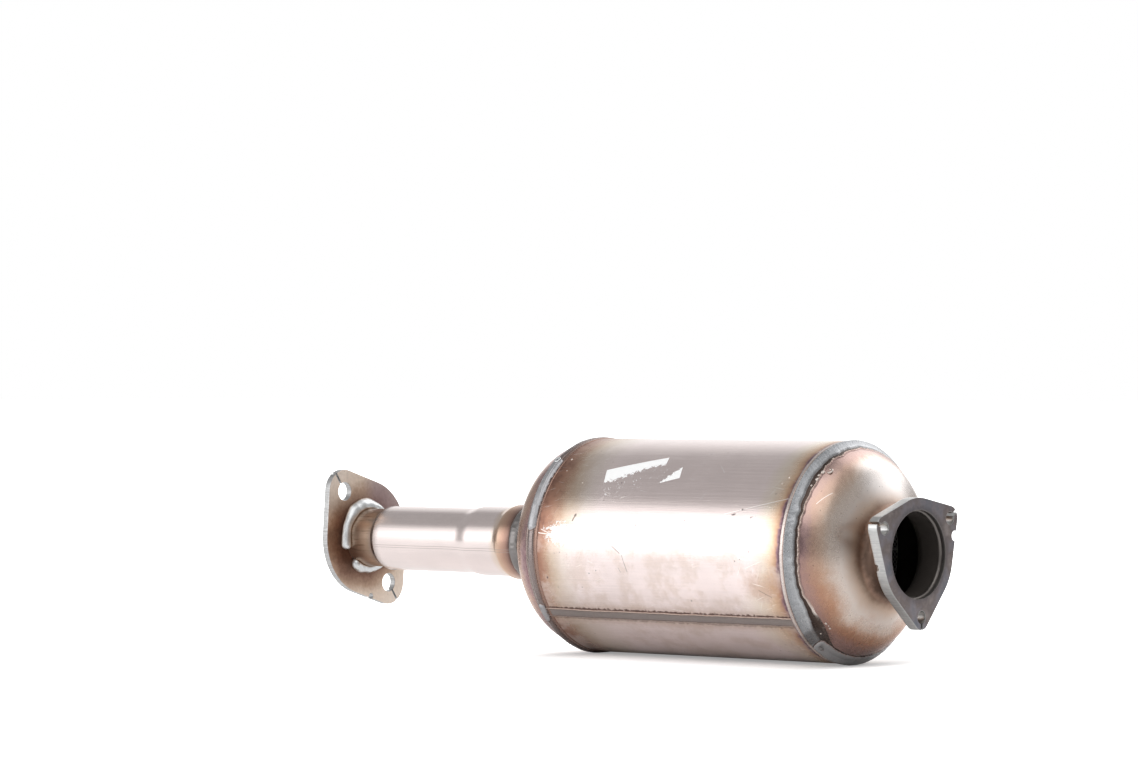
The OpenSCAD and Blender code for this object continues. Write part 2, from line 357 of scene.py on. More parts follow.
def strokes(x, arc, lines):
    """Several marks in one: each is (start, end, width, strength), with its points in mm and degrees."""
    total = None
    for start, end, width, strength in lines:
        one = stroke(x, arc, on_can(*start), on_can(*end), width) * strength
        total = total.most(one) if total else one
    return total


def scuff(x, arc, turn):
    """Sparse fine scratches that run at an angle to the axis: noise drawn out along them."""
    along = x * np.cos(turn) + arc * np.sin(turn)
    across = arc * np.cos(turn) - x * np.sin(turn)
    drawn = along.add("CombineXYZ", None, {0: along * 0.05, 1: across * 1.3, 2: 3.0 + turn})
    return drawn.noise(1.0, 1.0).step(0.72, 0.78)


def oval(x, arc, middle, half):
    """Distance from the middle of an oval, 1 at its edge."""
    u = (x - middle[0]) / half[0]
    v = (arc - middle[1]) / half[1]
    return (u * u + v * v).math("SQRT")


PALE_SCRATCHES = [
    ((-114, 20.5), (-56, 31), 0.4, 1.0),
    ((-112, 19.5), (-78, 25.5), 0.3, 0.5),
    ((-136, 32.5), (-139.5, 28.5), 0.4, 0.6),
    ((-136, 50.5), (-128.5, 45.5), 0.4, 0.6),
    ((-236, -6), (-232, -7), 0.5, 0.6),
    ((-283, 8), (-268, 7), 0.5, 0.9),
    ((-281, 10), (-266, 6), 0.4, 0.8),
]
DARK_SCRATCHES = [
    ((-213, 2), (-206, -1.5), 0.5, 0.9),
    ((-204, -2.5), (-200, -11), 0.45, 0.7),
    ((-208, -9), (-206, -11.5), 0.45, 0.5),
    ((-250.5, 18), (-252.5, 15), 1.0, 1.0),
    ((-250.2, 18.4), (-250.9, 17.5), 1.7, 1.0),
    ((-276, -15.5), (-276.6, -16), 1.2, 1.0),
    ((-193, 13.5), (-192.4, 13.5), 0.9, 0.8),
    ((-82.6, -18.5), (-72.5, -22), 0.4, 0.7),
]
DARK_SMUDGES = [
    ((-109, 20), (-104, 21), 1.3, 1.0),
    ((-102, 23), (-96, 24), 1.1, 1.0),
    ((-91, 19), (-86, 20), 1.0, 0.8),
]

# The paper left by a removed sticker: one corner, the rise of its long edge, and its size
PAPER_CORNER = (-236, 46.5)
PAPER_SLOPE = 0.30
PAPER_LENGTH = 64.5
PAPER_HEIGHT = 27


def paper_mask(here, x, arc):
    """A strip along the sticker's top and a triangle at its lower right corner, torn by noise on
    the sides that face each other, with scraps between them."""
    x0, a0 = on_can(*PAPER_CORNER)
    cos = np.cos(PAPER_SLOPE)
    sin = np.sin(PAPER_SLOPE)
    p = (x - x0) * cos + (arc - a0) * sin
    q = (x - x0) * sin - (arc - a0) * cos
    torn = here.noise(0.42, 6.0, 0.75)
    edge = (torn - 0.5) * 17.0
    inside = p.step(-2.0, -1.6) * p.step(PAPER_LENGTH, PAPER_LENGTH - 0.4)
    low = 12.5 - 4.5 * p.step(4.0, 40.0)
    strip = inside * p.step(49.0, 48.6) * q.step(-0.2, 0.2) * (low + edge - q).step(-0.2, 0.2)
    slant = q - 16.4 - (PAPER_LENGTH - p) * 0.62
    corner = inside * q.step(PAPER_HEIGHT + 0.2, PAPER_HEIGHT - 0.2) * (slant + edge).step(-0.2, 0.2)
    between = p.step(-2.0, 1.0) * p.step(58.0, 52.0) * q.step(9.0, 12.0) * q.step(27.0, 23.0)
    return strip.most(corner).most(between * torn.step(0.625, 0.64))


# Finishes

STEEL = (0.83, 0.72, 0.70)

# A brown place on the can by the inlet, below the highlight
BROWN_PLACE = on_can(CAN_INLET - 18, -16.5)
BROWN_SIZE = (22, 12)

# A spot on the can that was ground, by the outlet
GROUND_PLACE = (-262, 11)
GROUND_SIZE = (16, 9)


def can_paint(here):
    """Rolled sheet with fine lines along the axis, weld colours that fade from both ends, a brown
    place by the inlet, a halo along the seam, torn paper, and the scratches, pits and ground spot of
    handling."""
    x, y, z = here.parts()
    arc = arc_round(CAN_R, y, z)
    cloud = here.noise(0.03, 3.0)
    grain = here.noise(0.35, 4.0)
    lines = here.stretched(0.012, 0.9, 0.9).noise(1.0, 4.0, 0.65)
    fibres = here.stretched(0.06, 2.4, 2.4).noise(1.0, 3.0, 0.6)
    seam = arc - CAN_R * np.radians(SEAM_ANGLE)

    warp = (cloud - 0.5) * 10.0 + (grain - 0.5) * 3.5
    upper = arc.step(-8.0, 20.0)
    near_seam = abs(seam).step(42.0, 12.0)
    from_inlet = (CAN_INLET - 4.3 - x) * (1.0 - 0.4 * near_seam) + warp
    inlet_tint = (from_inlet / 32.0).ramp(
        (0.0, (0.13, 0.085, 0.10)), (0.035, (0.27, 0.165, 0.185)), (0.08, (0.46, 0.28, 0.20)),
        (0.16, (0.63, 0.44, 0.305)), (0.28, (0.73, 0.575, 0.45)), (0.48, (0.79, 0.69, 0.60)), (0.8, STEEL))
    lower = arc.step(-45.0, -65.0)
    covered = 1.0 + 4.0 * upper * arc.step(85.0, 55.0)
    from_outlet = (x - CAN_OUTLET - covered) * (0.66 - 0.16 * upper - 0.16 * lower) + warp
    outlet_tint = (from_outlet / 28.0).ramp(
        (0.0, (0.10, 0.06, 0.055)), (0.06, (0.28, 0.145, 0.105)), (0.20, (0.38, 0.21, 0.15)),
        (0.34, (0.49, 0.335, 0.25)), (0.47, (0.61, 0.49, 0.395)), (0.7, (0.76, 0.665, 0.61)), (1.0, STEEL))
    colour = x.step(-210.0, -140.0).mixed(outlet_tint, inlet_tint)

    smear = here.noise(0.13, 4.0, 0.7).step(0.46, 0.62) * from_outlet.step(11.0, 3.0) * upper
    colour = (smear * 0.5).mixed(colour, rgb(0.17, 0.09, 0.07))
    stain = here.noise(0.05, 5.0, 0.65).step(0.44, 0.64) * arc.step(15.0, -5.0)
    colour = (stain * 0.65).mixed(colour, rgb(0.68, 0.56, 0.50))
    browned = (oval(x, arc, BROWN_PLACE, BROWN_SIZE) + (grain - 0.5) * 0.7).step(1.25, 0.2)
    colour = (browned * 0.55).mixed(colour, rgb(0.42, 0.24, 0.15))
    halo = abs(seam) - 4.0 + (grain - 0.5) * 5.0
    colour = (halo.step(8.0, 0.0) * 0.6).mixed(colour, rgb(0.53, 0.39, 0.315))
    burn = (halo + (fibres - 0.5) * 1.6).step(1.8, 0.6) * (0.45 + 0.5 * seam.step(-1.0, 1.0))
    colour = burn.mixed(colour, rgb(0.13, 0.08, 0.07))
    shade = 0.90 + 0.16 * cloud + 0.20 * (lines - 0.5) + 0.12 * (fibres - 0.5)
    colour = shade.times(colour)

    specks = here.noise(0.5, 4.0, 0.7)
    ground_spot = oval(x, arc, GROUND_PLACE, GROUND_SIZE) + (fibres - 0.5) * 1.4 + (specks - 0.5) * 2.4
    rubbed = ground_spot.step(1.0, 0.6)
    colour = (rubbed * 0.7).mixed(colour, rgb(0.88, 0.82, 0.81))
    pale = strokes(x, arc, PALE_SCRATCHES)
    dark = strokes(x, arc, DARK_SCRATCHES).most(strokes(x, arc, DARK_SMUDGES) * grain.step(0.45, 0.6))
    pits = pitted(here, 0.16, cloud.step(0.5, 0.62))
    scuffs = scuff(x, arc, 0.35).most(scuff(x, arc, -0.2)).most(scuff(x, arc, 1.1)) * cloud.step(0.4, 0.6)
    colour = pale.most(scuffs * 0.7).mixed(colour, rgb(0.95, 0.90, 0.87))
    colour = (dark.most(pits * 0.7) * 0.85).mixed(colour, rgb(0.10, 0.08, 0.075))
    paper = paper_mask(here, x, arc)
    colour = paper.mixed(colour, rgb(0.95, 0.95, 0.95))

    tinted = (from_inlet.least(from_outlet)).step(14.0, 0.0)
    rough = 0.24 + 0.12 * (lines - 0.5) + 0.10 * tinted + paper * 0.35
    sparkle = here.noise(1.3, 2.0) * rubbed
    height = lines * 0.7 + fibres * 0.5 + grain * 0.3 + paper + sparkle * 4.0
    height = height - dark * 0.8 - pale * 0.4 - scuffs
    return coat(colour, rough, height.bump(0.18, 0.25), Metallic=1.0 - paper)


# A sooty place below the seam and a scratch on the inlet dome, as x and the arc at this radius
MARK_R = 66.0
SOOT_PLACE = (CAN_INLET + 9, MARK_R * np.radians(-49))
SOOT_SIZE = (6, 13)
DOME_SCRATCH = (CAN_INLET + 13, 36), (CAN_INLET + 18, 49), 0.3


def dome_paint(here):
    """Drawn sheet, coloured by heat from the ring weld inwards: purple, orange, tan, a pale
    middle with a painted highlight on top, golden brown, and dark brown at the neck that is partly
    heat scale and partly painted shade from the flange. The inside is painted dark, as shade."""
    x, y, z = here.parts()
    radius = from_axis(y, z)
    cloud = here.noise(0.028, 3.0)
    patch = here.noise(0.05, 4.0, 0.6)
    grain = here.noise(0.3, 4.0)
    fine = here.noise(1.4, 3.0)
    warp = (cloud - 0.5) * 11.0 + (grain - 0.5) * 4.0
    inwards = (72.0 - radius + warp + x.step(-200.0, -250.0) * 5.0) / 44.0
    # The ramp's last stops, dark brown at the neck, are partly heat scale and partly painted shade from the
    # flange
    colour = inwards.ramp(
        (0.0, (0.24, 0.15, 0.16)), (0.05, (0.40, 0.26, 0.255)), (0.12, (0.54, 0.36, 0.28)),
        (0.23, (0.63, 0.47, 0.375)), (0.36, (0.68, 0.575, 0.505)), (0.56, (0.68, 0.59, 0.535)),
        (0.74, (0.57, 0.43, 0.34)), (0.85, (0.33, 0.215, 0.16)), (0.93, (0.13, 0.085, 0.065)))
    at_inlet = x.step(-200.0, -100.0)
    orange = (inwards + (patch - 0.5) * 0.6).step(0.58, 0.12) * z.step(12.0, -28.0) * at_inlet
    colour = (orange * 0.9).mixed(colour, rgb(0.47, 0.245, 0.15))
    low = z.step(-30.0, -58.0) * inwards.step(0.4, 0.15) * at_inlet * (1.0 - 0.7 * y.step(-25.0, -5.0))
    colour = (low * 0.6).mixed(colour, rgb(0.34, 0.165, 0.10))
    warm = inwards.step(0.25, 0.05) * z.step(0.0, 40.0) * at_inlet
    colour = (warm * 0.55).mixed(colour, rgb(0.56, 0.41, 0.35))
    # Painted highlight: a pale patch on top of the inlet dome stands in for light reflected there
    pale = y.step(-30.0, -8.0) * z.step(31.0, 48.0) * inwards.step(0.05, 0.22) * at_inlet
    colour = (pale * 0.75).mixed(colour, rgb(0.93, 0.88, 0.86))
    purple = inwards.step(0.24, 0.0) * z.step(20.0, -25.0) * at_inlet
    colour = (purple * 0.55).mixed(colour, rgb(0.33, 0.245, 0.26))
    arc = arc_round(MARK_R, y, z)
    soot = (oval(x, arc, SOOT_PLACE, SOOT_SIZE) + (patch - 0.5) * 0.8).step(1.1, 0.2)
    colour = (soot * 0.75).mixed(colour, rgb(0.09, 0.065, 0.055))
    shade = 0.90 + 0.14 * grain + 0.08 * (fine - 0.5)
    colour = shade.times(colour)
    pits = pitted(here, 0.22, cloud.step(0.45, 0.6))
    colour = (pits * 0.6).mixed(colour, rgb(0.14, 0.10, 0.09))
    colour = (stroke(x, arc, *DOME_SCRATCH) * 0.8).mixed(colour, rgb(0.95, 0.88, 0.84))
    # Painted shade: the inside is coloured near black to stand for the dark within the can
    bore = here.mark("inside")
    colour = bore.mixed(colour, rgb(0.12, 0.105, 0.095))
    rough = 0.27 + 0.10 * (grain - 0.5) + 0.14 * inwards.step(0.45, 0.75) + 0.3 * bore
    height = cloud * 2.0 + grain * 0.22 + fine * 0.05 - pits
    return coat(colour, rough, height.bump(0.10, 0.25))


def pipe_paint(here):
    """Drawn tube: satin with fine lines along it and a joint line low on the front, orange-brown
    where the bell was welded, brown drag marks on the spigot. The inside is painted dark, as shade."""
    x, y, z = here.parts()
    arc = arc_round(RUN_R, y, z)
    cloud = here.noise(0.05, 3.0)
    grain = here.noise(0.5, 3.0)
    lines = here.stretched(0.02, 1.3, 1.3).noise(1.0, 4.0, 0.65)
    bell = (BELL_START - x + (cloud - 0.5) * 6.0) / 24.0
    colour = bell.ramp(
        (0.0, (0.10, 0.065, 0.06)), (0.12, (0.30, 0.185, 0.15)), (0.3, (0.47, 0.30, 0.23)),
        (0.55, (0.60, 0.43, 0.325)), (0.76, (0.70, 0.58, 0.50)), (0.95, (0.76, 0.67, 0.65)))
    brown = (x - OUTLET_BACK + (cloud - 0.5) * 6.0).step(32.0, 21.0)
    colour = brown.mixed(colour, rgb(0.45, 0.33, 0.25))
    band = abs(x - OUTLET_BACK - 26.5 + (grain - 0.5) * 2.0).step(9.0, 0.0)
    colour = (band * 0.65).mixed(colour, rgb(0.17, 0.13, 0.11))
    drag = here.stretched(0.05, 0.5, 0.5).noise(1.0, 3.0, 0.7).step(0.5, 0.72) * brown
    colour = (drag * 0.7).mixed(colour, rgb(0.12, 0.085, 0.065))
    joint = abs(abs(arc + 5.2 + (cloud - 0.5) * 0.6) - 0.8).step(0.35, 0.1) * (1.0 - brown)
    colour = (joint * 0.55).mixed(colour, rgb(0.35, 0.29, 0.27))
    shade = 0.90 + 0.12 * cloud + 0.14 * (lines - 0.5) + 0.05 * grain
    colour = shade.times(colour)
    # Painted shade: the bore is coloured dark to stand for the dark inside the tube
    bore = here.mark("inside")
    colour = bore.mixed(colour, rgb(0.18, 0.165, 0.15))
    rough = 0.23 + 0.1 * (lines - 0.5) + 0.12 * brown + 0.3 * bore
    height = lines * 0.6 + grain * 0.4 - joint * 0.4 - drag * 0.4
    return coat(colour, rough, height.bump(0.14, 0.25))


# The smoked end of the inlet's bead above the second run
BEAD_SOOT_PLACE = (CAN_INLET + 4, CAN_R * np.radians(-49))
BEAD_SOOT_SIZE = (9, 10)


def ring_paint(here):
    """Ring bead, coloured by its mark: 0 to 1 is the lip on the can, purple and silver, 1 to 2 the
    blue-grey bead, lighter towards the dome as painted light against the shade of its slope, 2 to 3
    a groove dark with oxide and painted shade, which also paints a shadow round a second run, 3 to 4
    a thin ridge with brown behind it, and 5 a second run. The bead is darker above and below its
    front, and the outlet's is browner."""
    across = here.mark("across")
    grain = here.noise(0.55, 4.0, 0.6)
    fine = here.noise(2.2, 3.0)
    cloud = here.noise(0.05, 2.0)
    place = (across + (grain - 0.5) * 0.16) / 4.0
    colour = place.ramp(
        (0.0, (0.13, 0.085, 0.10)), (0.045, (0.26, 0.165, 0.185)), (0.075, (0.58, 0.50, 0.47)),
        (0.13, (0.66, 0.59, 0.56)), (0.19, (0.52, 0.42, 0.38)), (0.23, (0.13, 0.09, 0.085)),
        # These stops paint the bead lighter towards the dome: painted light where its slope falls into
        # shade
        (0.28, (0.42, 0.43, 0.445)), (0.36, (0.52, 0.53, 0.555)), (0.46, (0.58, 0.59, 0.61)),
        # The groove's stops are dark with oxide and partly painted shade
        (0.52, (0.05, 0.035, 0.03)), (0.70, (0.09, 0.065, 0.055)), (0.76, (0.78, 0.69, 0.64)),
        (0.85, (0.48, 0.35, 0.30)), (0.96, (0.26, 0.17, 0.165)))
    speck = here.cells(0.65).step(0.2, 0.08) * cloud.step(0.42, 0.55)
    x, y, z = here.parts()
    shade = 0.78 + 0.34 * grain + 0.24 * (fine - 0.5) + 0.3 * (cloud - 0.5)
    # The bead's colour is darkened above and below its front
    darker_above_and_below = 0.40 * z.step(18.0, 32.0) + 0.26 * z.step(2.0, -12.0)
    darker_above_and_below = darker_above_and_below * across.step(0.9, 1.1) * across.step(2.0, 1.65)
    colour = (shade * (1.0 - darker_above_and_below)).times(colour)
    run = across.step(4.2, 4.8)
    arc = arc_round(CAN_R, y, z)
    sooty = oval(x, arc, BEAD_SOOT_PLACE, BEAD_SOOT_SIZE) + (cloud - 0.5) * 0.6
    colour = (sooty.step(1.1, 0.4) * (1.0 - run) * 0.65).mixed(colour, rgb(0.10, 0.085, 0.08))
    brown = x.step(-150.0, -250.0) * (1.0 - run)
    colour = (brown * 0.8).mixed(colour, rgb(0.22, 0.165, 0.15))
    colour = (brown * across.step(1.0, 0.9) * 0.7).mixed(colour, rgb(0.30, 0.175, 0.13))
    silver = (0.80 + 0.2 * grain + 0.25 * (fine - 0.5)).times(x.step(-150.0, -250.0).mixed(
        rgb(0.42, 0.41, 0.415), rgb(0.47, 0.465, 0.48)))
    colour = run.mixed(colour, silver)
    colour = (speck * 0.6).mixed(colour, rgb(0.13, 0.12, 0.12))
    rough = 0.28 + 0.24 * (grain - 0.5) + 0.14 * run
    height = grain * 1.1 + fine * 0.5 - speck * 1.2
    return coat(colour, rough, height.bump(0.32, 0.36))


def seam_paint(here):
    """Seam bead: a brown-grey band with faint lines along it between two thin raised edges."""
    across = here.mark("across")
    grain = here.noise(0.6, 4.0, 0.6)
    fine = here.stretched(0.15, 2.2, 2.2).noise(1.0, 3.0)
    edge = abs(across) + (grain - 0.5) * 0.16
    colour = edge.ramp(
        (0.0, (0.33, 0.29, 0.275)), (0.60, (0.31, 0.265, 0.25)), (0.72, (0.17, 0.125, 0.115)),
        (0.82, (0.55, 0.45, 0.39)), (0.93, (0.34, 0.24, 0.20)), (1.0, (0.11, 0.07, 0.06)))
    colour = (0.76 + 0.30 * grain + 0.3 * (fine - 0.5)).times(colour)
    rough = 0.38 + 0.2 * (grain - 0.5)
    height = grain * 0.7 + fine * 0.6
    return coat(colour, rough, height.bump(0.28, 0.25))


def bead_paint(middle, side):
    """Small beads: one colour along the middle with scale on it, another by the toes, dark edges."""
    def paint(here):
        grain = here.noise(0.5, 4.0, 0.6)
        fine = here.noise(2.0, 3.0)
        edge = abs(here.mark("across")) + (grain - 0.5) * 0.14
        colour = edge.ramp((0.0, middle), (0.72, middle), (0.85, side), (1.0, (0.12, 0.08, 0.06)))
        colour = (0.78 + 0.34 * grain + 0.2 * (fine - 0.5)).times(colour)
        rough = 0.34 + 0.22 * (grain - 0.5)
        height = grain * 0.8 + fine * 0.4
        return coat(colour, rough, height.bump(0.24, 0.3))
    return paint


def inlet_plate_paint(here):
    """Cut plate with a satin face, mottled grey, purple and brown, and bright walls with fine
    cutting lines. The bore's wall is painted dark, as shade."""
    x, y, z = here.parts()
    radius = from_axis(y, z)
    cloud = here.noise(0.05, 3.0)
    grain = here.noise(0.4, 4.0)
    brush = here.stretched(1.0, 0.08, 1.6).noise(1.0, 3.0)
    face = cloud.ramp(
        (0.32, (0.20, 0.205, 0.235)), (0.46, (0.265, 0.24, 0.255)), (0.56, (0.22, 0.185, 0.18)),
        (0.70, (0.33, 0.285, 0.27)))
    ring = (radius + (grain - 0.5) * 3.0).step(36.0, 31.0)
    face = (ring * 0.7).mixed(face, rgb(0.15, 0.13, 0.135))
    face = x.step(INLET_BACK + 0.8, INLET_BACK + 0.1).mixed(face, rgb(0.30, 0.22, 0.17))
    lines = here.stretched(0.06, 1.1, 1.1).noise(1.0, 2.0)
    wall = lines.ramp((0.30, (0.45, 0.455, 0.455)), (0.5, (0.54, 0.54, 0.535)), (0.7, (0.60, 0.60, 0.585)))
    cut = here.mark("cut")
    colour = cut.mixed(face, wall)
    # Painted shade: the bore's wall is coloured dark to stand for the shade inside the flange
    bore = radius.step(31.6, 31.0)
    colour = (bore * 0.9).mixed(colour, rgb(0.20, 0.18, 0.17))
    colour = (0.84 + 0.2 * grain + 0.16 * (brush - 0.5)).times(colour)
    rough = 0.30 + 0.12 * (brush - 0.5) + 0.2 * bore
    height = brush * 0.4 + grain * 0.4 + lines * cut * 0.4
    return coat(colour, rough, height.bump(0.14, 0.2))


def outlet_plate_paint(here):
    """Cut plate with a tan face, dark brown round the stitches and towards the front and purple at
    one side, and bright walls with cutting lines."""
    _, y, z = here.parts()
    radius = from_axis(y, z)
    cloud = here.noise(0.045, 3.0)
    grain = here.noise(0.4, 4.0)
    front = y.step(-8.0, -30.0) * z.step(26.0, 6.0) * z.step(-46.0, -26.0)
    heat = (radius + (cloud - 0.5) * 14.0 + (grain - 0.5) * 4.0 - 24.0 - 7.0 * front) / 32.0
    face = heat.ramp(
        (0.0, (0.13, 0.07, 0.05)), (0.18, (0.24, 0.14, 0.10)), (0.40, (0.45, 0.31, 0.23)),
        (0.62, (0.72, 0.58, 0.475)), (1.0, (0.80, 0.675, 0.58)))
    purple = (y * 0.55 + z * 0.84 + (cloud - 0.5) * 18.0).step(16.0, 36.0) * y.step(-8.0, 12.0)
    face = (purple * 0.7).mixed(face, rgb(0.32, 0.235, 0.255))
    lines = here.stretched(0.10, 1.4, 1.4).noise(1.0, 3.0)
    wall = lines.ramp((0.30, (0.36, 0.35, 0.345)), (0.5, (0.50, 0.50, 0.50)), (0.7, (0.62, 0.62, 0.62)))
    cut = here.mark("cut")
    colour = cut.mixed(face, wall)
    pits = pitted(here, 0.25, cloud.step(0.45, 0.6))
    colour = (pits * 0.6).mixed(colour, rgb(0.16, 0.11, 0.09))
    colour = (0.84 + 0.30 * (grain - 0.2)).times(colour)
    rough = 0.34 + 0.14 * (grain - 0.5) + 0.1 * cut
    height = grain * 0.5 + lines * cut - pits * 0.6
    return coat(colour, rough, height.bump(0.16, 0.2))


# Pitch of the filter's cells
CELL = 1.8


def filter_paint(here):
    """Ceramic bars: a square lattice of cells over the ends, every other one open and painted
    black as the shade down it, the rest plugged."""
    grain = here.noise(1.2, 3.0)
    _, y, z = here.parts()
    across = y / CELL + 100.5
    up = z / CELL + 100.5
    wall = abs(across.math("FRACT") - 0.5).most(abs(up.math("FRACT") - 0.5))
    hollow = wall.step(0.40, 0.36)
    odd = (across.math("FLOOR") + up.math("FLOOR")).math("MODULO", 2.0)
    # Painted shade: the open cells are coloured black to stand for the shade down their channels
    colour = (hollow * odd).mixed(rgb(0.20, 0.197, 0.19), rgb(0.012, 0.012, 0.012))
    colour = (hollow * (1.0 - odd) * 0.5).mixed(colour, rgb(0.29, 0.285, 0.27))
    colour = (0.8 + 0.4 * grain).times(colour)
    height = grain * 0.4 - hollow * odd
    return coat(colour, 0.8 + 0.1 * grain, height.bump(0.4, 0.3))


def cement_paint(here):
    """Grey cement with sand in it."""
    grain = here.noise(1.5, 4.0)
    colour = grain.ramp((0.3, (0.30, 0.295, 0.28)), (0.7, (0.44, 0.43, 0.41)))
    return coat(colour, 0.8 + 0.15 * grain, grain.bump(0.4, 0.3))


def mat_paint(here):
    """Off-white blanket of short fibres."""
    fibre = here.stretched(0.4, 1.6, 1.6).noise(1.0, 4.0, 0.7)
    colour = fibre.ramp((0.3, (0.62, 0.60, 0.55)), (0.7, (0.84, 0.82, 0.77)))
    return coat(colour, 0.85 + 0.1 * fibre, fibre.bump(0.5, 0.4))


can_finish = finish("can_finish", can_paint)
dome_finish = finish("dome_finish", dome_paint, Metallic=1.0)
pipe_finish = finish("pipe_finish", pipe_paint, Metallic=1.0)
ring_finish = finish("ring_finish", ring_paint, Metallic=0.95)
seam_finish = finish("seam_finish", seam_paint, Metallic=0.95)
silver_bead = bead_paint((0.66, 0.67, 0.675), (0.46, 0.36, 0.29))
stitch_finish = finish("stitch_finish", silver_bead, Metallic=0.95)
grey_bead = bead_paint((0.235, 0.22, 0.215), (0.20, 0.155, 0.135))
neck_finish = finish("neck_finish", grey_bead, Metallic=0.95)
dark_bead = bead_paint((0.16, 0.145, 0.135), (0.12, 0.10, 0.09))
inner_finish = finish("inner_finish", dark_bead, Metallic=0.9)
brown_bead = bead_paint((0.66, 0.58, 0.53), (0.42, 0.32, 0.27))
drop_finish = finish("drop_finish", brown_bead, Metallic=0.95)
inlet_plate_finish = finish("inlet_plate_finish", inlet_plate_paint, Metallic=1.0)
outlet_plate_finish = finish("outlet_plate_finish", outlet_plate_paint, Metallic=1.0)
filter_finish = finish("filter_finish", filter_paint)
cement_finish = finish("cement_finish", cement_paint)
mat_finish = finish("mat_finish", mat_paint)


# Can, domes and pipe

def can_profile(edge=0.3):
    """Tube wall with broken edges: outside from outlet to inlet, then back along the inside."""
    inner = CAN_R - CAN_WALL
    low = CAN_OUTLET + edge
    high = CAN_INLET - edge
    out = np.stack([np.linspace(low, high, 40), np.full(40, CAN_R)], -1)
    rim = np.array([[CAN_INLET, CAN_R - edge], [CAN_INLET, inner + edge]])
    back = np.stack([np.linspace(high, low, 12), np.full(12, inner)], -1)
    far_rim = np.array([[CAN_OUTLET, inner + edge], [CAN_OUTLET, CAN_R - edge]])
    return np.concatenate([out, rim, back, far_rim]), len(out) + 2


def dome_height(neck_r):
    """Rim to neck: both bends and the cone between them, each by its share of the height."""
    top = SHOULDER_C + SHOULDER_R * np.cos(CONE)
    foot = neck_r + THROAT_R * (1 - np.cos(CONE))
    return (SHOULDER_R + THROAT_R) * np.sin(CONE) + (top - foot) / np.tan(CONE)


def dome_half(neck_r, length, inset):
    """Half section from rim to neck as (height, radius): a shoulder arc round (0, SHOULDER_C), a
    cone, and a hollow throat arc, all moved inwards by the inset on the same centres."""
    high = dome_height(neck_r)
    bend = np.linspace(0, CONE, 28)
    reach = SHOULDER_R - inset
    shoulder = np.stack([reach * np.sin(bend), SHOULDER_C + reach * np.cos(bend)], -1)
    hollow = np.linspace(CONE, 0, 18)
    reach = THROAT_R + inset
    throat = np.stack([high - reach * np.sin(hollow), neck_r + THROAT_R - reach * np.cos(hollow)], -1)
    cone = shoulder[-1] + (throat[0] - shoulder[-1]) * np.linspace(0, 1, 12)[1:-1, None]
    rim = np.array([[-RIM_LEN, RIM_R - inset]])
    neck = np.array([[length, neck_r - inset]])
    return np.concatenate([rim, shoulder, cone, throat, neck])


def dome(name, neck_r, start, end, node):
    """A drawn end dome: its outer and inner half sections make one closed profile between the
    end of its rim and the end of its neck."""
    outer = dome_half(neck_r, abs(end - start), 0)
    inner = dome_half(neck_r, abs(end - start), SHEET)
    profile = np.concatenate([outer, inner[::-1]]) * [np.sign(end - start), 1] + [start, 0]
    turned(name, profile, dome_finish, [node], 420, len(outer))


# Depth behind the bell's start, and radius there, at each change of the swaged tube
SWAGE = [(0, BELL_R), (12, BELL_R), (19.5, COLLAR_R), (46, COLLAR_R), (59, RUN_R), (142.6, RUN_R),
         (147.7, SPIGOT_R), (BELL_START - PIPE_END, SPIGOT_R)]


def pipe_profile(steps=14):
    """Swaged tube: lengths joined by slopes that follow a half wave, outside and back inside."""
    depth, r = np.array(SWAGE).T
    t = np.linspace(0, 1, steps, endpoint=False)
    share = (1 - np.cos(np.pi * t)) / 2
    along = (depth[:-1, None] + np.diff(depth)[:, None] * t).ravel()
    out = (r[:-1, None] + np.diff(r)[:, None] * share).ravel()
    outer = np.stack([BELL_START - np.append(along, depth[-1]), np.append(out, r[-1])], -1)
    return np.concatenate([outer, (outer - [0, PIPE_WALL])[::-1]]), len(outer)


can_section, can_bore = can_profile()
turned("can_wall", can_section, can_finish, ["shell"], 512, can_bore)
dome("inlet_end", INLET_NECK_R, INLET_SHOULDER, INLET_NECK_END, "inlet_dome")
dome("outlet_end", OUTLET_NECK_R, OUTLET_SHOULDER, OUTLET_NECK_END, "outlet_dome")
tube_section, tube_bore = pipe_profile()
turned("swaged_pipe", tube_section, pipe_finish, ["outlet_pipe"], 256, tube_bore)


# Welds

def dome_r(beyond, cover):
    """Radius of a dome's shoulder at a length beyond the can's edge."""
    return SHOULDER_C + np.sqrt(SHOULDER_R ** 2 - (cover + np.maximum(beyond, 0)) ** 2)


def run_over(phi, d, ends, middles, half, high, more=0):
    """A second run laid over a bead: high times 1 - v^2 - u^2 to the power 0.35, where v goes
    across it and u is 0 along it and grows past its ends. Its middle wavers and shifts from end
    to end, and more makes it larger all round."""
    off = (np.degrees(phi) - ends[0] + 180) % 360 - 180
    share = off / (ends[1] - ends[0])
    shift = (middles[1] - middles[0]) * np.clip(share, 0, 1)
    middle = middles[0] + shift + 0.4 * waver(71, phi, 15, 50, 0.4)
    inside = np.minimum(share, 1 - share) * abs(np.radians(ends[1] - ends[0])) * CAN_R
    u = np.clip(1 - (inside + more) / (half + more), 0, None)
    v = (d - middle) / (half + more)
    return high * np.clip(1 - u * u - v * v, 0, None) ** 0.35


RING = full_turn(1280)[:, None]


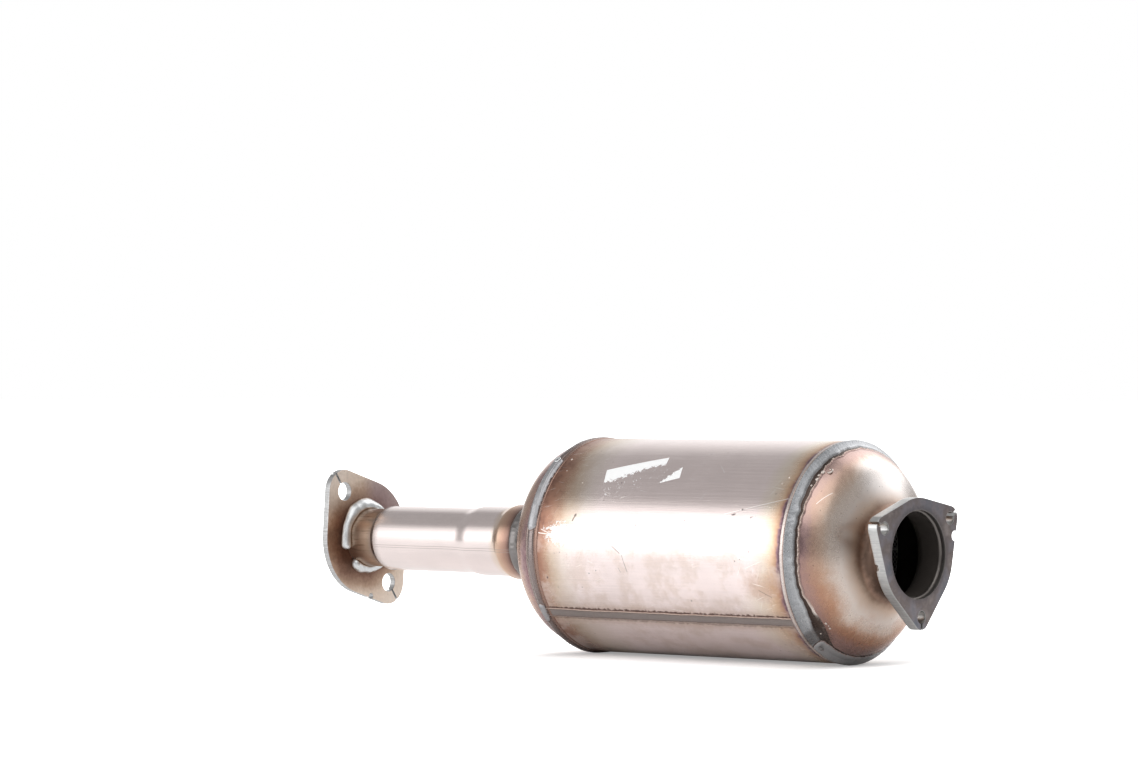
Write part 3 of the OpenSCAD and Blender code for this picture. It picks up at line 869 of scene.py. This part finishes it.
def ring_bead(name, edge, side, cover, seed, lip, back, toe, gap, high, ridge_share, runs, node):
    """The bead round a can's edge. Across it, by the length d beyond the edge, go a thin lip on
    the can, a crowned bead that starts a little back on the can and runs down to the dome, a
    groove, and a thin ridge on the dome. The lengths of lip, bead and groove, the height of the
    bead and the share of the ridge that is there are given round the ring."""
    ridge_w = 1.8
    v = np.linspace(0, 1, 60)[None, :]
    d = (lip + back + toe + gap + ridge_w) * v - lip - back
    share = np.clip((d + back) / (back + toe), 0, 1)
    foot = dome_r(toe, cover)
    chord = CAN_R + 0.2 + (foot - CAN_R - 0.2) * np.clip(d / toe, 0, 1)
    base = np.where(d < -back, CAN_R, np.where(d < toe, chord, dome_r(d, cover) + 0.06))
    lip_high = 0.42 * ease((d + back + lip) / 0.8) * (1 - ease((d + back + 0.6) / 2.4))
    lip_groove = 0.25 * np.exp(-((d + back + 0.5) / 0.4) ** 2)
    crown = high * (1 - np.abs(2 * share - 1) ** 5)
    ridge_high = (0.55 + 0.4 * waver(seed + 1, RING, 40, 160, 0.3)) * ridge_share
    ridge = ridge_high * np.exp(-((d - toe - gap - 0.6) / 0.5) ** 2)
    pits = 0.16 * waver(seed + 2, RING, 20, 150, 0.4) * np.sin(np.pi * share)
    ripple = 0.10 * waver(seed + 3, RING, 30, 180, 0.3) * np.sin(2 * np.pi * share)
    r = base + lip_high - lip_groove + crown + ridge + pits + ripple
    on_lip = 1 + (d + back) / lip
    on_groove = 2 + 0.8 * (d - toe) / gap
    on_ridge = 2.8 + (0.2 + (d - toe - gap) / ridge_w) * ridge_share
    beyond = np.where(d < toe + gap, on_groove, on_ridge)
    across = np.where(d < -back, on_lip, np.where(d < toe, 1 + share, beyond))
    for ends, middles, half, rise in runs:
        # Round each second run a margin is marked 2.3, which takes the groove's dark colour: a painted
        # shadow
        dark = run_over(RING, d, ends, middles, half, 1, 0.7) > 0
        over = base + run_over(RING, d, ends, middles, half, rise) - 0.1
        across = np.where(over > r, 5, np.where(dark, 2.3, across))
        r = np.maximum(r, over + 0.12 * waver(seed + 4, RING, 30, 120, 0.5))
    r[:, [0, -1]] -= 0.2
    under_d = np.concatenate([toe + gap, toe * 0.1, 0.6 - lip - back], 1)
    level = CAN_R + 0 * toe
    under_r = np.concatenate([dome_r(toe + gap, cover) - 1, level - 3.4, level - 0.8], 1)
    x = edge + side * np.concatenate([d, under_d], 1)
    r = np.concatenate([r, under_r], 1)
    across = np.concatenate([across, np.ones_like(under_d)], 1)
    swept(name, x, r, RING, ring_finish, [node], across, True)


inlet_lip = 4.3 + 0.5 * waver(11, RING, 2, 40)
inlet_toe = 4.9 + 0.8 * waver(12, RING, 3, 70, 0.7) + 2.2 * swell(RING, -32, 14) - 0.8 * swell(RING, 46, 14)
inlet_wide = 3.2 * swell(RING, -46, 11) + 1.2 * swell(RING, 46, 9)
inlet_groove = 1.9 + 0.7 * waver(13, RING, 4, 60, 0.6) + inlet_wide
inlet_high = 1.0 + 0.3 * waver(14, RING, 2, 50)
inlet_ridge = 1 - ease(1.5 * swell(RING, -55, 23))
# A second run: the angles of its ends, how far beyond the edge its middle lies there, half its
# width, and its height
inlet_runs = [((-53.5, -100), (3.2, 4.4), 3.7, 2.0)]
ring_bead("inlet_ring_bead", CAN_INLET, side=1, cover=INLET_COVER, seed=20, lip=inlet_lip, back=0.3,
          toe=inlet_toe, gap=inlet_groove, high=inlet_high, ridge_share=inlet_ridge, runs=inlet_runs,
          node="inlet_ring_weld")
outlet_lip = 4.0 + 0.3 * waver(31, RING, 2, 40)
outlet_toe = 3.6 + 0.5 * waver(32, RING, 3, 70, 0.7)
outlet_groove = 0.7 + 0.2 * waver(33, RING, 4, 60, 0.6)
outlet_high = 1.2 + 0.3 * waver(34, RING, 2, 50) - 0.6 * swell(RING, 85, 30)
outlet_ridge = 0 * RING + 0.5
outlet_runs = [((53.5, 9), (-1.7, 0.2), 4.7, 2.7), ((-31, -43), (-0.6, -0.6), 2.9, 2.2)]
ring_bead("outlet_ring_bead", CAN_OUTLET, side=-1, cover=OUTLET_COVER, seed=40, lip=outlet_lip, back=3.4,
          toe=outlet_toe, gap=outlet_groove, high=outlet_high, ridge_share=outlet_ridge, runs=outlet_runs,
          node="outlet_ring_weld")


def bead_marks(across, steps, under):
    """The mark "across" of a bead that is the same all along, with 1 on the points under it."""
    return np.concatenate([np.broadcast_to(across, (steps, across.size)), np.ones((steps, under))], 1)


def seam_bead(half_w=4.0, steps=620):
    """The bead along the can: a low band with a raised line near each edge, whose heights and
    edges waver along it. Its ends reach under the ring beads."""
    t = np.linspace(0, 1, steps)[:, None]
    low = CAN_OUTLET + 0.5
    high = CAN_INLET - 3.2
    x = low + (high - low) * t
    v = np.linspace(-1, 1, 26)[None, :]
    half = half_w + 0.22 * waver(51, t * TURN, 3, 90, 0.6)
    shift = 0.35 * waver(52, t * TURN, 1, 12)
    line_high = 0.34 * (1 + 0.6 * waver(53, t * TURN, 20, 160, 0.4))
    line = line_high * np.exp(-((np.abs(v) - 0.82) / 0.09) ** 2)
    band = 0.30 * (1 - np.abs(v) ** 8) + 0.05 * waver(54, t * TURN, 20, 200, 0.3) * (1 - v * v)
    r = CAN_R + line + band - 0.1 * (np.abs(v) > 0.98)
    turn = np.radians(SEAM_ANGLE) + (half * v + shift) / CAN_R
    under = np.full((steps, 2), CAN_R - 0.6)
    phi = np.concatenate([turn, turn[:, [-1]] - 0.01, turn[:, [0]] + 0.01], 1)
    across = bead_marks(v, steps, 2)
    r = np.concatenate([r, under], 1)
    swept("seam_bead", x, r, phi, seam_finish, ["shell_seam_weld"], across, False)


seam_bead()


def neck_bead(length=7.6, steps=640):
    """Bead between the dome's neck and the end of the bell: a crowned line between the two,
    wavering round the neck."""
    phi = full_turn(steps)[:, None]
    t = np.linspace(0, 1, 24)[None, :]
    start = BELL_START + length + 0.7 * waver(61, phi, 3, 40)
    end = BELL_START - 0.8 - 0.5 * waver(62, phi, 3, 50, 0.7)
    crown = (1.15 + 0.35 * waver(63, phi, 4, 60, 0.6)) * (1 - np.abs(2 * t - 1) ** 2.4)
    x = np.concatenate([start + (end - start) * t, end + 0.4, start - 0.4], 1)
    slope = OUTLET_NECK_R - 0.08 + (BELL_R - OUTLET_NECK_R) * t
    low = np.full((steps, 2), [BELL_R - 0.7, OUTLET_NECK_R - 0.6])
    r = np.concatenate([slope + crown, low], 1)
    across = bead_marks(2 * t - 1, steps, 2)
    swept("neck_bead", x, r, phi, neck_finish, ["outlet_neck_weld"], across, True)


neck_bead()


def stitch(name, ends, seed, node, broad, steps=460):
    """Fillet stitch in the corner of spigot and flange: both legs waver along it, the one on the
    flange is longer by broad round the top, it bulges by a half sine, and it closes to nothing
    along a quarter circle at each end."""
    t = np.linspace(0, 1, steps)[:, None]
    phi = np.radians(ends[0] + (ends[1] - ends[0]) * t)
    run = np.radians(ends[1] - ends[0]) * (SPIGOT_R + 2.5)
    from_end = np.clip(np.minimum(t, 1 - t) * run / 4.5, 0, 1)
    close = np.sqrt(np.clip(1 - (1 - from_end) ** 2, 0.0004, 1))
    leg = (4.6 + 0.5 * waver(seed, t * TURN, 2, 10)) * close
    foot = (6.0 + broad * swell(phi, 75, 45) + 0.7 * waver(seed + 1, t * TURN, 2, 10)) * close
    s = np.linspace(0, 1, 22)[None, :]
    bulge = (1.9 + 0.3 * waver(seed + 2, t * TURN, 2, 12)) * close * np.sin(np.pi * s)
    slope = np.hypot(leg, foot)
    x = OUTLET_BACK + leg * (1 - s) + bulge * foot / slope
    r = SPIGOT_R + foot * s + bulge * leg / slope
    sunk = OUTLET_BACK - 0.4 * close
    x = np.concatenate([x, sunk, sunk, OUTLET_BACK + leg * 0.9], 1)
    inner = SPIGOT_R - 0.3 * close
    r = np.concatenate([r, SPIGOT_R + foot * 0.95, inner, inner], 1)
    across = bead_marks(2 * s - 1, steps, 3)
    swept(name, x, r, phi, stitch_finish, [node], across, False)


stitch("upper_stitch", (-22, 150), 71, "outlet_flange_weld_upper", broad=2.4)
stitch("lower_stitch", (-184, -48), 81, "outlet_flange_weld_lower", broad=0)


def inlet_bead(steps=400):
    """Bead on the neck's end inside the inlet flange: a slope from the neck's bore out to the
    flange's, with a low crown."""
    phi = full_turn(steps)[:, None]
    t = np.linspace(0, 1, 14)[None, :]
    leg = 2.3 + 0.35 * waver(91, phi, 3, 60, 0.6)
    crown = 0.3 * np.sin(np.pi * t)
    ahead = np.concatenate([leg * t + crown, leg * 0.9, 0 * phi - 0.4], 1)
    slope = INLET_NECK_R - SHEET + 0.05 + SHEET * t - crown + 0 * phi
    low = np.full((steps, 2), [INLET_NECK_R + 0.25, INLET_NECK_R - 1.1])
    r = np.concatenate([slope, low], 1)
    across = bead_marks(1.8 * t - 0.9, steps, 2)
    x = INLET_NECK_END + ahead
    swept("inlet_bead", x, r, phi, inner_finish, ["inlet_flange_weld"], across, True)


inlet_bead()


def drops(name, spots):
    """Drops of stray weld metal: for each spot of station, angle, surface radius and size, a
    flattened half ball that sinks a little into the sheet."""
    x0, phi0, r0, size = np.array(spots, float).T[:, :, None, None]
    sides = 10
    turn = full_turn(sides)[None, None, :]
    up = np.radians([-25, 5, 35, 62, 84])[None, :, None]
    rings = up.size
    x = x0 + size * np.cos(up) * np.cos(turn)
    phi = np.radians(phi0) + size * np.cos(up) * np.sin(turn) / r0
    r = r0 + 0.7 * size * np.sin(up) + 0 * turn
    points = round_axis(x, r, phi).reshape(-1, 3)
    start = np.arange(len(spots))[:, None, None] * rings * sides
    j = np.arange(1, sides - 1)
    foot = np.stack([0 * j, j + 1, j], -1)
    top = foot[:, [0, 2, 1]] + (rings - 1) * sides
    quads = (grid_faces(rings, sides, False, True) + start).reshape(-1, 4)
    fans = (np.concatenate([foot, top]) + start).reshape(-1, 3)
    piece(name, points, quads, fans, drop_finish, (), {"across": np.zeros(len(points))}, 80)


# Drops by station or by length beyond the inlet's edge, angle and size
CAN_DROPS = [(-254, 37, 0.6), (-278.5, 54, 0.9), (-275, 45, 0.5), (-72.5, 39, 0.6), (-69, 43, 0.8),
             (-262.5, -2, 0.6), (-267.5, -2.5, 0.5), (-268, -21, 0.5)]
DOME_DROPS = [(7.6, 52, 1.8), (6.6, 49, 1.1), (7.1, 46, 1.6), (5.9, 41, 1.0), (6.4, 57, 0.8), (6, 65, 0.8),
              (13.7, -44, 1.1), (14.2, -46.5, 0.6), (14, -48.5, 0.9), (8, -49, 0.7)]
drops("can_drops", [(x, phi, CAN_R, size) for x, phi, size in CAN_DROPS])
drops("dome_drops", [(CAN_INLET + d, phi, dome_r(d, INLET_COVER), size) for d, phi, size in DOME_DROPS])


def crater(name, x0, phi0, r0, size, tube, look):
    """A ring of splashed metal round a burst bubble: a tube carried round a circle that lies on
    the sheet."""
    turn = full_turn(28)[:, None]
    around = full_turn(10)[None, :]
    reach = size + tube * np.cos(around)
    x = x0 + reach * np.cos(turn)
    phi = np.radians(phi0) + reach * np.sin(turn) / r0
    points = round_axis(x, r0 + tube * np.sin(around) + 0 * turn, phi).reshape(-1, 3)
    quads = grid_faces(turn.size, around.size, True, True)
    piece(name, points, quads, [], look, (), {"across": np.zeros(len(points))}, 80)


crater("dome_crater", CAN_INLET + 10.5, 55, dome_r(10.5, INLET_COVER), 2.0, tube=0.8, look=drop_finish)
crater("run_crater", CAN_OUTLET + 2, 51.5, CAN_R + 2.5, 2.0, tube=0.7, look=stitch_finish)
crater("lobe_crater", CAN_INLET + 3.6, -58, dome_r(3.6, INLET_COVER) + 3.2, 1.6, tube=0.6, look=neck_finish)


# Flanges

def arc_points(centre, radius, start, end, spacing=0.5):
    """Points on an arc, about a spacing apart, without its last one."""
    count = max(3, int(abs(end - start) * radius / spacing))
    a = np.linspace(start, end, count, endpoint=False)
    return np.asarray(centre) + radius * np.stack([np.cos(a), np.sin(a)], -1)


def line_points(start, end, spacing=0.5):
    """Points on a line, about a spacing apart, without its last one."""
    step = np.subtract(end, start)
    count = max(3, int(np.hypot(*step) / spacing))
    return np.asarray(start) + step * np.linspace(0, 1, count, endpoint=False)[:, None]


def lobed_outline(disc_r, lobe_r, reach, hole_r, slit, turns):
    """Outline of a disc with a lobe at each turn: tangent lines from the disc to the lobe's arc,
    and from the arc a slit that leads in to the bolt hole, round it and out again."""
    lean = np.arccos((disc_r - lobe_r) / reach)
    side = np.array([np.cos(lean), np.sin(lean)])
    near = disc_r * side
    far = np.array([reach, 0]) + lobe_r * side
    flip = np.array([1, -1])
    gap = np.arcsin(slit / 2 / lobe_r)
    mouth = np.arcsin(slit / 2 / hole_r)
    lip = reach + lobe_r * np.cos(gap)
    throat = reach + hole_r * np.cos(mouth)
    centre = (reach, 0)
    one = np.concatenate([
        line_points(near * flip, far * flip),
        arc_points(centre, lobe_r, -lean, -gap),
        line_points((lip, -slit / 2), (throat, -slit / 2)),
        arc_points(centre, hole_r, -mouth, mouth - TURN),
        line_points((throat, slit / 2), (lip, slit / 2)),
        arc_points(centre, lobe_r, gap, lean),
        line_points(far, near),
        arc_points((0, 0), disc_r, lean, TURN / len(turns) - lean)])
    cos = np.cos(turns)[:, None]
    sin = np.sin(turns)[:, None]
    front = one[:, 0] * cos - one[:, 1] * sin
    up = one[:, 0] * sin + one[:, 1] * cos
    return np.stack([front, up], -1).reshape(-1, 2)


def bitten(outline, angle, distance, radius):
    """The outline with a round bite: the run of points inside the circle gives way to the
    circle's arc in the plate."""
    centre = distance * np.array([np.cos(angle), np.sin(angle)])
    off = np.hypot(*(outline - centre).T)
    start = np.flatnonzero((off < radius) & (np.roll(off, 1) >= radius))[0]
    outline = np.roll(outline, -start, 0)
    count = int(np.argmax(np.roll(off, -start) >= radius))
    first, last = outline[[0, count - 1]] - centre
    a0 = np.arctan2(first[1], first[0])
    a1 = np.arctan2(last[1], last[0])
    bite = arc_points(centre, radius, a0, a0 - (a0 - a1) % TURN, 0.3)
    return np.concatenate([bite, outline[count:]])


def outwards(outline):
    """Unit normals of an outline that runs to the left round its plate."""
    along = np.roll(outline, -1, 0) - np.roll(outline, 1, 0)
    return np.stack([along[:, 1], -along[:, 0]], -1) / np.hypot(*along.T)[:, None]


def flat_points(x, flat):
    """Points at station x of a flat (front, up)."""
    return np.stack([np.broadcast_to(x, flat.shape[:-1]), -flat[..., 0], flat[..., 1]], -1)


def cap(points, edge, hole, towards):
    """Triangles of a flat face between two loops of point numbers, facing along towards x."""
    loops = [list(map(Vector, points[edge].tolist())), list(map(Vector, points[hole].tolist()))]
    numbers = np.concatenate([edge, hole])[np.array(tessellate_polygon(loops))]
    a, b, c = points[numbers].transpose(1, 0, 2)
    wrong = np.cross(b - a, c - a)[:, 0] * towards < 0
    numbers[wrong] = numbers[wrong][:, ::-1]
    return numbers


def plate(name, outline, bore_r, low, high, chamfer, look, node, dimple=None):
    """A flat plate between x = low and high: rows of points follow the outline and the bore from
    face to face, drawn in at both edges by the chamfer, and each flat face is cut into triangles
    between the first or last rows. The mark "cut" is 1 on the walls."""
    wall_rows = 8
    inset = np.array([1, 0.3, *[0] * wall_rows, 0.3, 1])[:, None, None] * chamfer
    walls = np.linspace(low + chamfer, high - chamfer, wall_rows)
    x = np.concatenate([[low, low + 0.3 * chamfer], walls, [high - 0.3 * chamfer, high]])[:, None]
    flat = outline[None] - outwards(outline)[None] * inset
    if dimple:
        spot, depth, size = dimple
        reach = np.hypot(np.hypot(*(flat - spot).transpose(2, 0, 1)), x - low)
        push = depth * np.sqrt(np.clip(1 - (reach / size) ** 2, 0, 1))
        flat = flat - outwards(outline)[None] * push[..., None]
    ring = arc_points((0, 0), 1, 0, TURN, TURN / 240)
    rows, count, holes = len(x), len(outline), len(ring)
    edge = flat_points(x, flat).reshape(-1, 3)
    bore = flat_points(x, ring[None] * (bore_r + inset)).reshape(-1, 3)
    points = np.concatenate([edge, bore])
    start = rows * count
    walls = grid_faces(rows, count, False, True)
    hole_walls = grid_faces(rows, holes, False, True)[:, ::-1] + start
    first = cap(points, np.arange(count), start + np.arange(holes), -1)
    top_edge = (rows - 1) * count + np.arange(count)
    top_hole = start + (rows - 1) * holes + np.arange(holes)
    last = cap(points, top_edge, top_hole, 1)
    quads = np.concatenate([walls, hole_walls])
    cut = np.array([0, 0.8, *[1] * wall_rows, 0.8, 0])[:, None]
    marks = np.concatenate([np.repeat(cut, count, 1).ravel(), np.repeat(cut, holes, 1).ravel()])
    piece(name, points, quads, np.concatenate([first, last]), look, [node], {"cut": marks}, 28)


INLET_DISC_R = 39.6
inlet_outline = lobed_outline(INLET_DISC_R, lobe_r=8.8, reach=43.6, hole_r=4.5, slit=2.2,
                              turns=np.radians([26, 146, 266]))
inlet_outline = bitten(inlet_outline, np.radians(164), distance=43.6, radius=3.6)
dimple_spot = INLET_DISC_R * np.array([np.cos(np.radians(-12)), np.sin(np.radians(-12))])
plate("inlet_plate", inlet_outline, INLET_NECK_R + SEAT_GAP, INLET_BACK, INLET_FACE, chamfer=0.4,
      look=inlet_plate_finish, node="inlet_flange", dimple=(dimple_spot, 1.4, 2.4))
outlet_outline = lobed_outline(43.6, lobe_r=16.6, reach=43.1, hole_r=7, slit=1.6,
                               turns=np.radians([55.6, 235.6]))
outlet_outline = bitten(outlet_outline, np.radians(-96), distance=45.8, radius=2.2)
plate("outlet_plate", outlet_outline, SPIGOT_R + SEAT_GAP, OUTLET_FACE, OUTLET_BACK, chamfer=0.3,
      look=outlet_plate_finish, node="outlet_flange")


# Filter inside

def dress(node, look):
    """Gives a solid of the frame its finish."""
    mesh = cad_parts[node].data
    mesh.materials.clear()
    mesh.materials.append(look)


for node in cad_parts:
    if node.startswith("filter_segment"):
        dress(node, filter_finish)
dress("filter_cement", cement_finish)
dress("support_mat", mat_finish)


# Studio, in metres

def stage_mesh(name, corners, faces):
    """A mesh of the studio with an empty material, and the start of that material's nodes."""
    mesh = bpy.data.meshes.new(name)
    mesh.from_pydata(corners, [], faces)
    made = bpy.data.objects.new(name, mesh)
    bpy.context.scene.collection.objects.link(made)
    material = bpy.data.materials.new(name)
    material.use_nodes = True
    material.node_tree.nodes.clear()
    mesh.materials.append(material)
    return made, Wire(material.node_tree, None)


def light_card(name, azimuth, elevation, distance, width, height, rows, columns):
    """A sheet of light square to a direction from the object's middle, seen by the metal and not
    by the camera. Its strength is the product of the rows, from the lower edge up, and of the
    columns, from the right edge as seen from the object."""
    turn = np.radians(azimuth)
    lift = np.radians(elevation)
    away = np.array([np.cos(lift) * np.cos(turn), np.cos(lift) * np.sin(turn), np.sin(lift)])
    side = np.array([-np.sin(turn), np.cos(turn), 0])
    up = np.cross(away, side)
    t = np.linspace(-0.5, 0.5, len(rows))[:, None, None] * height
    s = np.linspace(-0.5, 0.5, len(columns))[None, :, None] * width
    centre = np.array([(CAN_INLET + CAN_OUTLET) / 2 * MM, 0, 0]) + away * distance
    corners = (centre + up * t + side * s).reshape(-1, 3)
    faces = grid_faces(len(rows), len(columns), False, False)
    made, start = stage_mesh(name, corners.tolist(), faces.tolist())
    glow = made.data.attributes.new("glow", "FLOAT", "POINT")
    glow.data.foreach_set("value", np.outer(rows, columns).ravel().astype(np.float32))
    light = start.add("Emission", None, {"Strength": start.mark("glow")})
    start.add("OutputMaterial", None, {"Surface": light})
    made.visible_camera = False
    made.visible_shadow = False


light_card("side_light", 235, 18, distance=1.7, width=2.1, height=1.15,
           rows=(1.8, 2.3, 2.4, 2.4, 2.3, 1.9, 1.4, 0.9), columns=(0.25, 0.45, 0.75, 1, 1, 1, 1, 0.9))
light_card("back_wall", 130, 20, distance=2.6, width=2.2, height=2.3,
           rows=(0.9, 1.15, 1.2, 1.2, 1.15, 1.0, 0.8, 0.62), columns=(1, 1, 1, 1))
light_card("back_light", 80, 42, distance=1.9, width=1.9, height=1.95,
           rows=(1.3, 2.1, 2.3, 2.3, 2.2, 1.9, 1.5), columns=(0.3, 0.75, 1, 1, 0.8))
light_card("top_light", -42, 52, distance=1.75, width=2.1, height=1.9,
           rows=(1.1, 1.8, 1.9, 1.6), columns=(0.8, 1, 1, 0.95, 0.8, 0.6))
light_card("right_wall", 5, 2, distance=1.1, width=2.4, height=0.4,
           rows=(0.42, 0.42, 0.45), columns=(1, 1))

FLOOR_Z = -0.0790
FLOOR_REACH = 30.0
floor_corners = [(-FLOOR_REACH, -FLOOR_REACH, FLOOR_Z), (FLOOR_REACH, -FLOOR_REACH, FLOOR_Z),
                 (FLOOR_REACH, FLOOR_REACH, FLOOR_Z), (-FLOOR_REACH, FLOOR_REACH, FLOOR_Z)]
_, ground = stage_mesh("floor", floor_corners, [(0, 1, 2, 3)])

# The floor is white to the camera away from the can and keeps its shadow near it. The metal sees
# it darker near the can and towards its ends, the inlet's most.
by_camera = ground.add("LightPath", out="Is Camera Ray")
by_gloss = ground.add("LightPath", out="Is Glossy Ray")
by_metal = by_gloss.most(ground.add("LightPath", out="Is Transmission Ray"))
spot = ground.add("TexCoord", out="Object")
floor_x, floor_y, _ = spot.parts()
can_middle = (CAN_INLET + CAN_OUTLET) / 2 * MM
can_half = (CAN_INLET - CAN_OUTLET) / 2 * MM
past_end = (abs(floor_x - can_middle) - can_half).most(0.0)
from_can = (past_end * past_end + floor_y * floor_y).math("SQRT")
far = 0.25 * from_can.step(0.35, 1.8)
camera_level = 0.32 + 0.3 * from_can.step(0.03, 0.12) + far + 0.45 * past_end.step(0.0, 0.04)
along = 0.2 + 0.95 * floor_x.step(0.1, -0.12) - 0.35 * floor_x.step(-0.2, -0.33)
metal_level = (0.42 * from_can.step(0.04, 0.15) + far) * along
plain = ground.add("BsdfDiffuse", None, {"Color": rgb(0.86, 0.86, 0.86)})
white = ground.add("Emission", None, {"Strength": by_camera * camera_level + by_metal * metal_level})
ground.add("OutputMaterial", None, {"Surface": ground.add("AddShader", None, {0: plain, 1: white})})

world = bpy.data.worlds.new("studio")
bpy.context.scene.world = world
world.use_nodes = True
world.node_tree.nodes.clear()
sky = Wire(world.node_tree, None)

# White to the camera, and a soft fill for the rest
seen = sky.add("LightPath", out="Is Camera Ray")
level = seen.math("MULTIPLY_ADD", 0.52, 0.48)
backdrop = sky.add("Background", None, {"Color": rgb(1, 1, 1), "Strength": level})
sky.add("OutputWorld", None, {"Surface": backdrop})

# Place, direction and lens of the photo's camera, by fit
camera = bpy.data.cameras.new("camera")
camera.sensor_width = 36
camera.lens = 142.4
camera.clip_end = 100
eye = bpy.data.objects.new("camera", camera)
eye.location = (1.865, -2.502, 0.1218)
eye.rotation_mode = "QUATERNION"
eye.rotation_quaternion = Vector((-0.658, 0.753, -0.00144)).to_track_quat("-Z", "Y")
bpy.context.scene.collection.objects.link(eye)
bpy.context.scene.camera = eye
bpy.context.scene.view_settings.view_transform = "Standard"
